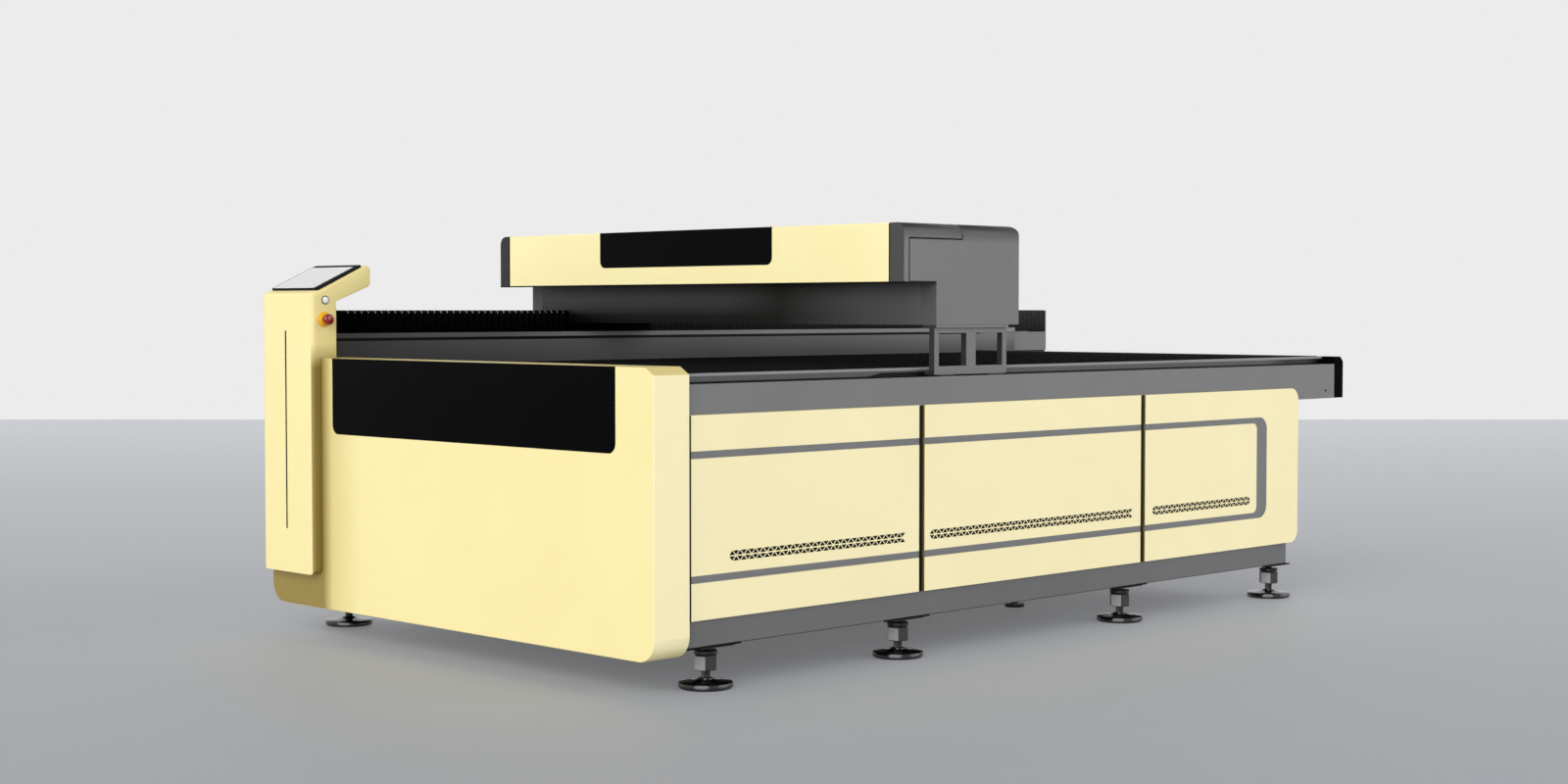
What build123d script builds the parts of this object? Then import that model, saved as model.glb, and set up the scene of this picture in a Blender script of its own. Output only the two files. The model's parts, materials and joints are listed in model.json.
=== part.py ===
# Flatbed laser cutting machine with a moving gantry, in millimetres, +Z up.
import os
from math import atan2, cos, sin
from build123d import *

os.makedirs("parts", exist_ok=True)

# Sizes are given in the machine's own axes: x from the bed's middle, y rearward from the front
# cover's face, z up from the floor. x_mid and y_front carry them to the middle of the whole machine.

# Front cover
cover_width = 1900
cover_half = cover_width / 2
cover_depth = 130
cover_bottom = 99
cover_height = 803
cover_top = cover_bottom + cover_height
cover_wall = 3
cover_corner = 64
cover_bevel_x = 36
cover_bevel_z = 22
edge_round = 2.4
window_corner = 30
window_bottom = cover_top - 240
pane = 3
pane_rim = 12
fit_gap = 0.3
running = 0.05

# Welded frame
panel_step = 8
panel_depth = 8
panel_half = cover_half - panel_step
frame_half = panel_half - panel_depth
base_bottom = cover_bottom + 26
base_size = 100
base_wall = 5
bed_length = 3428
base_end = bed_length - 322
post_size = 70
cross_size = 80
tube_wall = 4
bulkhead = 12

# Side panels
panel_end = base_end + 64
panel_gap = 13
panel_seams = (1091, 2214)
panel_skin = 4
panel_flange = 15
panel_corner = 45

# Beams that carry the guides
beam_top = cover_top - 49
beam_height = 128
beam_bottom = beam_top - beam_height
beam_end = bed_length
beam_wall = 6
beam_inner = frame_half - 74
rim_width = 20
rim_top = beam_top + 27
slot_lip = 4
guide_height = 30
guide_gap = 4
rail_size = 20
left_beam_inner = frame_half - 128
left_beam_top = beam_top + 106
left_beam_end = beam_end + 230
left_beam_wall = 8
strip_height = 20
strip_width = 6
end_cap_length = 62
rear_bar = 60
rear_bar_top = rim_top + 2

# Stripes and vents of the side panels
panel_bottom = base_bottom + 76
panel_top = beam_bottom + 43
stripe_height = 20.6
stripe_low = panel_bottom + 103.6
stripe_high = panel_top - 120
stripe_depth = 2
stripe_sheet = 1.6
loop_end = panel_end - 207
loop_width = 64
loop_corner = 45
vent_low = stripe_low + 52.4
vent_pitch = 30
vent_base = 23
vent_rise = 12.5
vent_rib = 3.5
vent_starts = (153, 25, 42)
vent_ends = (55, 50, 303)

# Feet
foot_rows = (cover_depth + 120, panel_seams[0] - 45, panel_seams[1] - 51, base_end - 36)
foot_x = frame_half - base_size / 2
foot_disc = 155
foot_disc_height = 23
foot_stem = 26
foot_hex = 60
foot_hex_low = foot_disc_height + 24
foot_hex_high = base_bottom - 23
foot_plate = 7
foot_plate_x = 96
foot_plate_y = 130
foot_travel = 30
pad_disc = 70
pad_disc_height = 12
pad_stem = 24
pad_x = 402
pad_y = foot_rows[2] + 27

# Table
table_top = rim_top - 5
slat_height = 40
slat_thick = 4
slat_pitch = 48
carrier = 20
tray_depth = 42
tray_sheet = 2

# Rear
rear_sheet = 3
spigot_radius = 100
spigot_length = 80
spigot_flange = 20
spigot_z = (base_bottom + beam_top) / 2 - 19

# Console
console_width = 296
console_left = -cover_half
console_right = console_left + console_width
console_proud = 34
console_bottom = cover_bottom + 109
console_wall = 4
console_rear = 58
console_shoulder = cover_top + 188
head_front_z = cover_top + 200
head_tip_y = 188
head_tip_low = cover_top + 238
head_rise = 98
console_round = 5
console_corner = 24
head_round = 16
slit_x = console_left + 141
slit_width = 5.5
slit_low = console_bottom + 141
slit_high = cover_top + 88
screen_margin = 10
screen_thick = 7
estop_y = 12
estop_z = cover_top + 124
estop_collar_radius = 24
estop_collar_depth = 12
estop_taper = 18
estop_stem = 11
estop_head = 18
estop_head_depth = 16
estop_travel = 4
button_y = 16
button_z = cover_top + 186
button_radius = 11
button_proud = 5
window_left = console_right + 61
window_right = cover_half - 158

# Gantry
gantry_front = 1019
gantry_left = -cover_half - 98
gantry_right = cover_half - 18
gantry_depth = 542
gantry_bottom = left_beam_top + 51
gantry_height = 311
gantry_top = gantry_bottom + gantry_height
lid_left = gantry_left + 56
lid_right = gantry_right - 63
lid_middle = (lid_left + lid_right) / 2
lid_setback = 147
lid_front_depth = 21
lid_top_depth = 45
lid_length = 265
lid_sheet = 3
lid_gap = 1.5
lid_corner = 4
lid_height = 179
lid_bottom = gantry_top - lid_height
cap_round = 30
lid_window_width = 850
lid_window_bottom = gantry_top - 121
lid_window_corner = 24
crossbeam_top = lid_bottom - 2
crossbeam_depth = 220
crossbeam_wall = 6
side_wall = 4
side_corner = 25
leg_left = frame_half - 32
leg_thick = 22
leg_length = 344
leg_plate = 9
leg_plate_left = leg_left - 25
leg_bar = 21
leg_post = 45
leg_foot = 26
leg_head = 16
block_width = 44
block_length = 70
hinge_radius = 5
hinge_barrel = 4.5
hinge_leaf = 25
hinge_sheet = 2
hinge_play = 0.5
hinge_pin = 2.5
hinge_part = 30
hinge_inset = 290
hinge_places = (lid_left + hinge_inset, lid_middle, lid_right - hinge_inset)

# Left drive under the bellows
guide_left = -frame_half + 26
screw_x = guide_left + 42
screw_z = left_beam_top + 31
screw_radius = 10
journal_radius = 8
bearing = 25
bearing_front = cover_depth + 40
nut_length = 60
nut_width = 34
pulley_radius = 15
pulley_width = 14
belt_thick = 2
belt_inset = 1
motor_z = left_beam_top - 41
motor_size = 40
motor_length = 70
motor_plate = 6
drive_end = left_beam_end + 254
bearing_rear = drive_end - 72
end_plate = 7
box_left = -frame_half + 2
box_right = box_left + 96
box_bottom = left_beam_top - 82
box_wall = 3
bellows_top = left_beam_top + 95
bellows_fold = 10
bellows_sheet = 2
bellows_pitch = 27
skirt = 2

# Laser and cross axis
tube_radius = 40
tube_left = lid_left + 112
tube_right = lid_right - 199
clamp_width = 30
clamp_margin = 10
clamp_inset = 285
clamp_places = (tube_left + clamp_inset, tube_right - clamp_inset)
head_x = beam_inner - 54
head_plate = 12
head_width = 90
cross_rail = 15
cross_rail_z = gantry_bottom + 35
cross_block = 50
cross_pulley = 15
cross_pulley_z = cross_rail_z + 45
cross_belt_width = 12
jaw = 7
cross_idler_x = lid_right - 24
cross_motor_x = lid_left + 72
cross_motor_size = 57
cross_motor_length = 70
axle = 4
lens_radius = 16
lens_clamp = 30
nozzle_tip = table_top + 15
nozzle_rise = 30
mirror_x = lid_left + 37
mirror_size = 40
mirror_thick = 8

# Places worked out from the sizes above
right_reach = max(cover_half, foot_x + foot_disc / 2)
x_mid = (-gantry_left - right_reach) / 2
y_front = (console_proud - drive_end) / 2
slot_left = beam_inner + rim_width
slot_right = frame_half - slot_lip
guide_right = (slot_left + slot_right) / 2
leg_bottom = beam_top + guide_gap
slot_floor = leg_bottom - guide_height
crossbeam_front = gantry_front + lid_setback
crossbeam_rear = crossbeam_front + crossbeam_depth
gantry_rear = gantry_front + gantry_depth
tube_y = crossbeam_front + 124
tube_z = crossbeam_top + 75
head_y = crossbeam_rear + 84
lid_rear = gantry_front + lid_length
hinge_y = lid_rear + lid_gap / 2
hinge_z = gantry_top + hinge_radius
end_plate_front = drive_end - end_plate
belt_y = bearing_rear + bearing + motor_plate
riser_bottom = left_beam_top + guide_height
tilt = atan2(head_rise, head_tip_y + console_proud)


def cross_section(y):
    """Plane seen from the front: local axes x and z, extruded rearward by a negative amount."""
    return Plane(origin=(x_mid, y_front + y, 0), x_dir=(1, 0, 0), z_dir=(0, -1, 0))


def side_view(x):
    """Plane seen from the right: local axes y and z, extruded to the right."""
    return Plane(origin=(x_mid + x, y_front, 0), x_dir=(0, 1, 0), z_dir=(1, 0, 0))


def plan_view(z):
    """Level plane: local axes x and y, extruded upward."""
    return Plane(origin=(x_mid, y_front, z))


def span(low_a, high_a, low_b, high_b, mode=Mode.ADD):
    """Rectangle between two corners of the sketch that is open."""
    with Locations(((low_a + high_a) / 2, (low_b + high_b) / 2)):
        Rectangle(high_a - low_a, high_b - low_b, mode=mode)


def save(builder, name):
    """Label a finished piece and write it."""
    builder.part.label = name
    export_step(builder.part, "parts/" + name + ".step")


def cover_face(inset):
    """Outline of the front cover, drawn in by an even margin."""
    half = cover_half
    with BuildSketch() as face:
        span(-half + inset, half - inset, cover_bottom + inset, cover_top - inset)
        fillet(face.vertices().group_by(Axis.Y)[0], radius=cover_corner - inset)
        for side in (1, -1):
            Polygon(
                (side * (half - inset), cover_top - cover_bevel_z - inset),
                (side * (half - inset), cover_top - inset),
                (side * (half - cover_bevel_x - inset), cover_top - inset),
                align=None,
                mode=Mode.SUBTRACT,
            )
    return face.sketch


# Welded frame: base rails with the threaded holes of the feet, cross tubes, and posts under the beams
with BuildPart() as welded_frame:
    rail_inner = foot_x - base_size / 2
    with BuildSketch(cross_section(cover_depth)):
        for side in (1, -1):
            with Locations((side * foot_x, base_bottom + base_size / 2)):
                Rectangle(base_size, base_size)
                Rectangle(base_size - 2 * base_wall, base_size - 2 * base_wall, mode=Mode.SUBTRACT)
    extrude(amount=cover_depth - base_end)
    with BuildSketch(plan_view(base_bottom)):
        for row in foot_rows:
            with Locations((foot_x, row), (-foot_x, row)):
                Circle(foot_stem / 2 + running)
    extrude(amount=base_wall, mode=Mode.SUBTRACT)
    with BuildSketch(side_view(fit_gap - rail_inner)):
        for row in foot_rows:
            with Locations((row, base_bottom + base_size / 2)):
                Rectangle(cross_size, cross_size)
                Rectangle(cross_size - 2 * tube_wall, cross_size - 2 * tube_wall, mode=Mode.SUBTRACT)
    extrude(amount=2 * (rail_inner - fit_gap))
    with BuildSketch(plan_view(base_bottom + base_size + fit_gap)):
        for row in foot_rows:
            for side in (1, -1):
                with Locations((side * (frame_half - post_size / 2), row)):
                    Rectangle(post_size, post_size)
                    Rectangle(post_size - 2 * tube_wall, post_size - 2 * tube_wall, mode=Mode.SUBTRACT)
    extrude(amount=beam_bottom - base_bottom - base_size - fit_gap)
save(welded_frame, "welded_frame")

# Plate inside the cover that the rails and beams are welded to
with BuildPart() as front_bulkhead:
    with BuildSketch(cross_section(cover_depth - bulkhead)):
        add(cover_face(cover_wall + fit_gap))
    extrude(amount=-bulkhead)
save(front_bulkhead, "front_bulkhead")

# Front cover: a deep folded tray with bevelled shoulders and a rebate for the window
with BuildPart() as front_cover:
    with BuildSketch(cross_section(0)):
        add(cover_face(0))
    extrude(amount=-cover_depth)
    fillet(front_cover.faces().sort_by(Axis.Y)[0].outer_wire().edges(), radius=edge_round)
    with BuildSketch(cross_section(cover_wall)):
        add(cover_face(cover_wall))
    extrude(amount=-cover_depth, mode=Mode.SUBTRACT)
    with BuildSketch(cross_section(0)) as window_cut:
        span(window_left, window_right, window_bottom, cover_top + cover_wall)
        fillet(window_cut.vertices().group_by(Axis.Y)[0], radius=window_corner)
    extrude(amount=-cover_wall, mode=Mode.SUBTRACT)
save(front_cover, "front_cover")

# Black window, rebated so that its rim bears on the back of the cover
with BuildPart() as front_window:
    with BuildSketch(cross_section(0)) as glass:
        span(window_left + fit_gap, window_right - fit_gap, window_bottom + fit_gap, cover_top)
        fillet(glass.vertices().group_by(Axis.Y)[0], radius=window_corner)
    extrude(amount=-cover_wall)
    with BuildSketch(cross_section(cover_wall)):
        span(
            window_left - pane_rim,
            window_right + pane_rim,
            window_bottom - pane_rim,
            cover_top - cover_wall - fit_gap,
        )
    extrude(amount=-pane)
save(front_window, "front_window")

# Right beam: box section with a guide slot behind its outer lip and a raised rim inside
with BuildPart() as right_beam:
    with BuildSketch(cross_section(cover_depth)):
        span(beam_inner, frame_half, beam_bottom, beam_top)
        span(beam_inner, slot_left, beam_top, rim_top)
        span(slot_left, slot_right, slot_floor, beam_top, mode=Mode.SUBTRACT)
        span(
            beam_inner + beam_wall,
            frame_half - beam_wall,
            beam_bottom + beam_wall,
            slot_floor - beam_wall,
            mode=Mode.SUBTRACT,
        )
    extrude(amount=cover_depth - beam_end)
save(right_beam, "right_beam")

# Left beam: tall box section with a lip along its inner edge and a shadow groove under the lip
with BuildPart() as left_beam:
    with BuildSketch(cross_section(cover_depth)):
        span(-frame_half, -left_beam_inner, beam_bottom, left_beam_top)
        span(
            -left_beam_inner - strip_width,
            -left_beam_inner,
            left_beam_top,
            left_beam_top + strip_height,
        )
        span(
            -left_beam_inner - strip_width / 3,
            -left_beam_inner,
            left_beam_top - strip_width / 3,
            left_beam_top + strip_width / 3,
            mode=Mode.SUBTRACT,
        )
        span(
            -frame_half + left_beam_wall,
            -left_beam_inner - left_beam_wall,
            beam_bottom + left_beam_wall,
            left_beam_top - left_beam_wall,
            mode=Mode.SUBTRACT,
        )
    extrude(amount=cover_depth - left_beam_end)
save(left_beam, "left_beam")

# Crossbar that closes the bed at the rear
with BuildPart() as rear_crossbar:
    with BuildSketch(side_view(-left_beam_inner)):
        with Locations((beam_end - rear_bar / 2, rear_bar_top - rear_bar / 2)):
            Rectangle(rear_bar, rear_bar)
            Rectangle(rear_bar - 2 * tube_wall, rear_bar - 2 * tube_wall, mode=Mode.SUBTRACT)
    extrude(amount=beam_inner + left_beam_inner)
save(rear_crossbar, "rear_crossbar")

# Moulded cap on the right beam's rear end
with BuildPart() as beam_end_cap:
    with BuildSketch(cross_section(beam_end)):
        span(beam_inner, frame_half, beam_bottom, rim_top)
    extrude(amount=-end_cap_length)
    chamfer(beam_end_cap.faces().sort_by(Axis.Z)[-1].edges().sort_by(Axis.Y)[-1], length=end_cap_length / 3)
    fillet(beam_end_cap.edges().filter_by(Axis.Z).group_by(Axis.Y)[-1], radius=edge_round)
save(beam_end_cap, "beam_end_cap")


# Side panels: shallow trays with two grooves for the stripes, and rows of triangular vents
panel_starts = (cover_depth + fit_gap, panel_seams[0] + panel_gap / 2, panel_seams[1] + panel_gap / 2)
panel_ends = (panel_seams[0] - panel_gap / 2, panel_seams[1] - panel_gap / 2, panel_end)
panel_names = ("front", "middle", "rear")


def rounded_end(start, end, low, high, radius):
    """Rectangle whose two rear corners are rounded."""
    with BuildSketch() as face:
        span(start, end, low, high)
        fillet(face.vertices().group_by(Axis.X)[-1], radius=radius)
    return face.sketch


def panel_face(index, inset):
    """Outline of one panel, drawn in by an even margin. The rear panel has round corners."""
    start = panel_starts[index] + inset
    end = panel_ends[index] - inset
    with BuildSketch() as face:
        if index == 2:
            add(rounded_end(start, end, panel_bottom + inset, panel_top - inset, panel_corner - inset))
        else:
            span(start, end, panel_bottom + inset, panel_top - inset)
    return face.sketch


def stripe_face(index, inset):
    """Stripes of one panel: two bands, which the rear panel joins into a loop."""
    start = panel_starts[index] + inset
    low = stripe_low + inset
    high = stripe_high + stripe_height - inset
    band = stripe_height - 2 * inset
    with BuildSketch() as face:
        if index == 2:
            inner_end = loop_end - loop_width + inset
            add(rounded_end(start, loop_end - inset, low, high, loop_corner))
            add(rounded_end(start, inner_end, low + band, high - band, loop_corner / 2), mode=Mode.SUBTRACT)
        else:
            span(start, panel_ends[index] - inset, low, low + band)
            span(start, panel_ends[index] - inset, high - band, high)
    return face.sketch


def vent_face(index):
    """Two mirrored rows of triangles that point up and down in turn."""
    start = panel_starts[index] + vent_starts[index]
    end = panel_ends[index] - vent_ends[index]
    middle = vent_low + vent_rise + vent_rib / 2
    with BuildSketch() as face:
        for place in range(1, int(2 * (end - start) / vent_pitch)):
            y = start + place * vent_pitch / 2
            turn = 1 if place % 2 else -1
            for row in (1, -1):
                center = middle + row * (vent_rise + vent_rib) / 2
                rise = turn * row * vent_rise / 2
                Polygon(
                    (y - vent_base / 2, center - rise),
                    (y + vent_base / 2, center - rise),
                    (y, center + rise),
                    align=None,
                )
    return face.sketch


def side_panel(index, side):
    """One panel of the right (1) or left (-1) side."""
    with BuildPart() as panel:
        with BuildSketch(side_view(side * frame_half)):
            add(panel_face(index, 0))
        extrude(amount=side * panel_depth)
        with BuildSketch(side_view(side * frame_half)):
            add(panel_face(index, panel_flange))
        extrude(amount=side * (panel_depth - panel_skin), mode=Mode.SUBTRACT)
        with BuildSketch(side_view(side * panel_half)):
            add(stripe_face(index, 0))
        extrude(amount=-side * stripe_depth, mode=Mode.SUBTRACT)
        if side == 1:
            with BuildSketch(side_view(side * frame_half)):
                add(vent_face(index))
            extrude(amount=side * panel_depth, mode=Mode.SUBTRACT)
    return panel


for number, place_name in enumerate(panel_names):
    save(side_panel(number, 1), "right_panel_" + place_name)

with BuildPart() as left_panels:
    for number in range(len(panel_names)):
        add(side_panel(number, -1).part)
save(left_panels, "left_panels")

with BuildPart() as panel_stripes:
    for side in (1, -1):
        with BuildSketch(side_view(side * (panel_half - stripe_depth))):
            for number in range(len(panel_names)):
                add(stripe_face(number, fit_gap))
        extrude(amount=side * stripe_sheet)
save(panel_stripes, "panel_stripes")

# Rear panel on the last posts, with the opening of the exhaust
post_rear = foot_rows[-1] + post_size / 2
with BuildPart() as rear_panel:
    with BuildSketch(cross_section(post_rear)):
        span(-frame_half, frame_half, base_bottom + base_size + fit_gap, beam_bottom - fit_gap)
        with Locations((0, spigot_z)):
            Circle(spigot_radius - rear_sheet, mode=Mode.SUBTRACT)
    extrude(amount=-rear_sheet)
save(rear_panel, "rear_panel")

# Exhaust spigot with its flange, for a hose of the same bore
with BuildPart() as exhaust_spigot:
    with BuildSketch(cross_section(post_rear + rear_sheet)):
        with Locations((0, spigot_z)):
            Circle(spigot_radius + spigot_flange)
            Circle(spigot_radius - rear_sheet, mode=Mode.SUBTRACT)
    extrude(amount=-rear_sheet)
    with BuildSketch(cross_section(post_rear + rear_sheet)):
        with Locations((0, spigot_z)):
            Circle(spigot_radius)
            Circle(spigot_radius - rear_sheet, mode=Mode.SUBTRACT)
    extrude(amount=-spigot_length)
save(exhaust_spigot, "exhaust_spigot")

# Table: a tray with ledges at its sides and a rib in the middle, and blades on edge across them
carrier_top = table_top - slat_height
bed_rear = beam_end - rear_bar
bed_middle = (beam_inner - left_beam_inner) / 2
with BuildPart() as table_tray:
    with BuildSketch(cross_section(cover_depth)):
        span(-left_beam_inner, beam_inner, carrier_top - tray_depth, carrier_top)
        for start, end in ((-left_beam_inner, bed_middle), (bed_middle, beam_inner)):
            span(
                start + carrier,
                end - carrier,
                carrier_top - tray_depth + tray_sheet,
                carrier_top,
                mode=Mode.SUBTRACT,
            )
    extrude(amount=cover_depth - bed_rear)
save(table_tray, "table_tray")

slat_count = int((bed_rear - cover_depth) / slat_pitch) - 1
with BuildPart() as table_slats:
    with BuildSketch(plan_view(carrier_top)):
        with Locations((bed_middle, (cover_depth + bed_rear) / 2)):
            with GridLocations(1, slat_pitch, 1, slat_count):
                Rectangle(beam_inner + left_beam_inner - 2 * fit_gap, slat_thick)
    extrude(amount=slat_height)
save(table_slats, "table_slats")

# Foot plates under the rails, and fixed pads under the middle cross tube
with BuildPart() as foot_plates:
    with BuildSketch(plan_view(base_bottom - foot_plate)):
        for row in foot_rows:
            with Locations((foot_x, row), (-foot_x, row)):
                Rectangle(foot_plate_x, foot_plate_y)
                Circle(foot_stem / 2 + running, mode=Mode.SUBTRACT)
    extrude(amount=foot_plate)
save(foot_plates, "foot_plates")

cross_tube_low = base_bottom + (base_size - cross_size) / 2
with BuildPart() as middle_pads:
    with BuildSketch(plan_view(0)):
        with Locations((pad_x, pad_y), (-pad_x, pad_y)):
            Circle(pad_disc / 2)
    extrude(amount=pad_disc_height)
    with BuildSketch(plan_view(0)):
        with Locations((pad_x, pad_y), (-pad_x, pad_y)):
            Circle(pad_stem / 2)
    extrude(amount=cross_tube_low)
save(middle_pads, "middle_pads")


def levelling_foot(side, row):
    """Disc, hexagon and stem, turned as one. The stem screws up into the base rail."""
    with BuildPart() as foot:
        with BuildSketch(plan_view(0)):
            with Locations((side * foot_x, row)):
                Circle(foot_disc / 2)
        extrude(amount=foot_disc_height)
        chamfer(foot.edges().group_by(Axis.Z)[-1], length=foot_disc_height / 4, length2=foot_disc_height)
        with BuildSketch(plan_view(foot_hex_low)):
            with Locations((side * foot_x, row)):
                RegularPolygon(foot_hex / 2, 6, major_radius=False)
        extrude(amount=foot_hex_high - foot_hex_low)
        with BuildSketch(plan_view(foot_disc_height / 2)):
            with Locations((side * foot_x, row)):
                Circle(foot_stem / 2)
        extrude(amount=base_bottom + base_wall + foot_travel - foot_disc_height / 2)
    return foot


for side, side_name in ((1, "right"), (-1, "left")):
    for number, row in enumerate(foot_rows):
        save(levelling_foot(side, row), "foot_" + side_name + "_" + str(number + 1))

# Console: a shallow column that hangs over the cover's top and ends in a tilted head
with BuildPart() as console:
    with BuildSketch(side_view(console_left)) as console_profile:
        with BuildLine():
            Polyline(
                (-console_proud, console_bottom),
                (-console_proud, head_front_z),
                (head_tip_y, head_front_z + head_rise),
                (head_tip_y, head_tip_low),
                (console_rear, console_shoulder),
                (console_rear, cover_top),
                (0, cover_top),
                (0, console_bottom),
                close=True,
            )
        make_face()
        fillet(console_profile.vertices().group_by(Axis.X)[-1], radius=head_round)
        fillet(console_profile.vertices().group_by(Axis.X)[0].sort_by(Axis.Y)[-1], radius=head_round)
    extrude(amount=console_right - console_left)
    fillet(console.edges().filter_by(Axis.Y).group_by(Axis.Z)[0], radius=console_corner)
    fillet(console.edges().filter_by(Axis.Z).group_by(Axis.Y)[0], radius=console_round)
    with BuildSketch(side_view(console_left + console_wall)):
        with BuildLine():
            Polyline(
                (-console_proud + console_wall, console_bottom + console_corner),
                (-console_proud + console_wall, head_front_z - console_wall),
                (head_tip_y - head_round, head_front_z + head_rise - 2 * head_round),
                (head_tip_y - head_round, head_tip_low + console_wall),
                (console_rear - console_wall, console_shoulder + console_wall),
                (console_rear - console_wall, cover_top + console_wall),
                (0, cover_top + console_wall),
                (0, console_bottom + console_corner),
                close=True,
            )
        make_face()
    extrude(amount=console_right - console_left - 2 * console_wall, mode=Mode.SUBTRACT)
    with BuildSketch(cross_section(-console_proud)):
        span(slit_x - slit_width / 2, slit_x + slit_width / 2, slit_low, slit_high)
    extrude(amount=-console_wall / 2, mode=Mode.SUBTRACT)
    with BuildSketch(side_view(console_right)):
        with Locations((button_y, button_z)):
            Circle(button_radius + running)
        with Locations((estop_y, estop_z)):
            Circle(estop_stem + running)
    extrude(amount=-console_wall, mode=Mode.SUBTRACT)
save(console, "console")

# Touch screen, a slab with rounded edges on the head's tilted face
tilt_length = (head_tip_y + console_proud - 2 * head_round) / cos(tilt)
screen_y = (head_tip_y - console_proud) / 2
screen_z = head_front_z + head_rise / 2
screen_plane = Plane(
    origin=(x_mid + (console_left + console_right) / 2, y_front + screen_y, screen_z),
    x_dir=(1, 0, 0),
    z_dir=(0, -sin(tilt), cos(tilt)),
)
with BuildPart() as touch_screen:
    with BuildSketch(screen_plane):
        RectangleRounded(console_right - console_left - 2 * screen_margin, tilt_length, screen_margin)
    extrude(amount=screen_thick)
    chamfer(touch_screen.faces().sort_by(Axis.Z)[-1].edges(), length=edge_round / 2)
save(touch_screen, "touch_screen")

# Emergency stop: a collar on the console's side and a mushroom button on a stem
with BuildPart() as estop_collar:
    with BuildSketch(side_view(console_right)):
        with Locations((estop_y, estop_z)):
            Circle(estop_collar_radius)
    extrude(amount=estop_collar_depth, taper=estop_taper)
    with BuildSketch(side_view(console_right)):
        with Locations((estop_y, estop_z)):
            Circle(estop_stem + running)
    extrude(amount=estop_collar_depth, mode=Mode.SUBTRACT)
save(estop_collar, "estop_collar")

with BuildPart() as estop_button:
    with BuildSketch(side_view(console_right - console_wall)):
        with Locations((estop_y, estop_z)):
            Circle(estop_stem)
    extrude(amount=console_wall + estop_collar_depth + estop_travel + edge_round)
    with BuildSketch(side_view(console_right + estop_collar_depth + estop_travel + edge_round)):
        with Locations((estop_y, estop_z)):
            Circle(estop_head)
    extrude(amount=estop_head_depth)
    rims = estop_button.edges().filter_by(GeomType.CIRCLE).filter_by(lambda rim: rim.radius > estop_stem)
    chamfer(rims.sort_by(Axis.X)[-1], length=estop_head_depth / 2, length2=estop_head_depth / 3)
    chamfer(rims.sort_by(Axis.X)[0], length=edge_round)
save(estop_button, "estop_button")

with BuildPart() as power_button:
    with BuildSketch(side_view(console_right - console_wall)):
        with Locations((button_y, button_z)):
            Circle(button_radius)
    extrude(amount=console_wall + button_proud)
    chamfer(power_button.faces().sort_by(Axis.X)[-1].edges(), length=edge_round / 2)
save(power_button, "power_button")

# Guide rails: one in the right beam's slot, one on the left beam
with BuildPart() as guide_rails:
    with BuildSketch(cross_section(cover_depth)):
        span(guide_right - rail_size / 2, guide_right + rail_size / 2, slot_floor, slot_floor + rail_size)
    extrude(amount=cover_depth - beam_end)
    with BuildSketch(cross_section(cover_depth)):
        span(guide_left - rail_size / 2, guide_left + rail_size / 2, left_beam_top, left_beam_top + rail_size)
    extrude(amount=cover_depth - left_beam_end)
save(guide_rails, "guide_rails")

# Carriage blocks that straddle the rails, two a side
leg_rear = crossbeam_front + leg_length
riser_rear = crossbeam_rear - crossbeam_wall
with BuildPart() as guide_carriages:
    for middle, floor, rear in ((guide_right, slot_floor, leg_rear), (guide_left, left_beam_top, riser_rear)):
        for start in (crossbeam_front + leg_bar, rear - leg_bar - block_length):
            with BuildSketch(cross_section(start)):
                span(middle - block_width / 2, middle + block_width / 2, floor + guide_gap, floor + guide_height)
                span(
                    middle - rail_size / 2 - running,
                    middle + rail_size / 2 + running,
                    floor,
                    floor + rail_size + running,
                    mode=Mode.SUBTRACT,
                )
            extrude(amount=-block_length)
save(guide_carriages, "guide_carriages")

# Right leg: a frame with two windows, under a flat plate
window_length = (leg_length - 2 * leg_bar - leg_post) / 2
leg_top = gantry_bottom - leg_plate
with BuildPart() as right_leg:
    with BuildSketch(side_view(leg_left)):
        span(crossbeam_front, leg_rear, leg_bottom, leg_top)
        for start in (crossbeam_front + leg_bar, leg_rear - leg_bar - window_length):
            span(start, start + window_length, leg_bottom + leg_foot, leg_top - leg_head, mode=Mode.SUBTRACT)
    extrude(amount=leg_thick)
    with BuildSketch(plan_view(leg_top)):
        span(leg_plate_left, gantry_right, crossbeam_front, leg_rear)
    extrude(amount=leg_plate)
save(right_leg, "right_leg")

# Left riser: a channel over the rail and screw, on the left blocks, with the screw nut's housing in it
with BuildPart() as left_riser:
    with BuildSketch(cross_section(crossbeam_front)):
        span(box_left, box_right, left_beam_top + guide_gap, gantry_bottom)
        span(box_left + skirt, box_right - skirt, left_beam_top + guide_gap, riser_bottom, mode=Mode.SUBTRACT)
    extrude(amount=-gantry_depth + lid_setback)
    with BuildSketch(cross_section(crossbeam_front)):
        with Locations((screw_x, screw_z)):
            Circle(screw_radius + skirt)
    extrude(amount=-gantry_depth + lid_setback, mode=Mode.SUBTRACT)
    with BuildSketch(cross_section(crossbeam_front)):
        span(screw_x - nut_width / 2, screw_x + nut_width / 2, screw_z - nut_width / 2, gantry_bottom)
        with Locations((screw_x, screw_z)):
            Circle(screw_radius + running, mode=Mode.SUBTRACT)
    extrude(amount=-nut_length)
save(left_riser, "left_riser")

# Crossbeam, a box section with the stub axle of the cross belt's idler at its rear
with BuildPart() as crossbeam:
    with BuildSketch(side_view(lid_left)):
        span(crossbeam_front, crossbeam_rear, gantry_bottom, crossbeam_top)
        span(
            crossbeam_front + crossbeam_wall,
            crossbeam_rear - crossbeam_wall,
            gantry_bottom + crossbeam_wall,
            crossbeam_top - crossbeam_wall,
            mode=Mode.SUBTRACT,
        )
    extrude(amount=lid_right - lid_left)
    with BuildSketch(cross_section(crossbeam_rear)):
        with Locations((cross_idler_x, cross_pulley_z)):
            Circle(axle)
    extrude(amount=-cross_rail)
save(crossbeam, "crossbeam")


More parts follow.
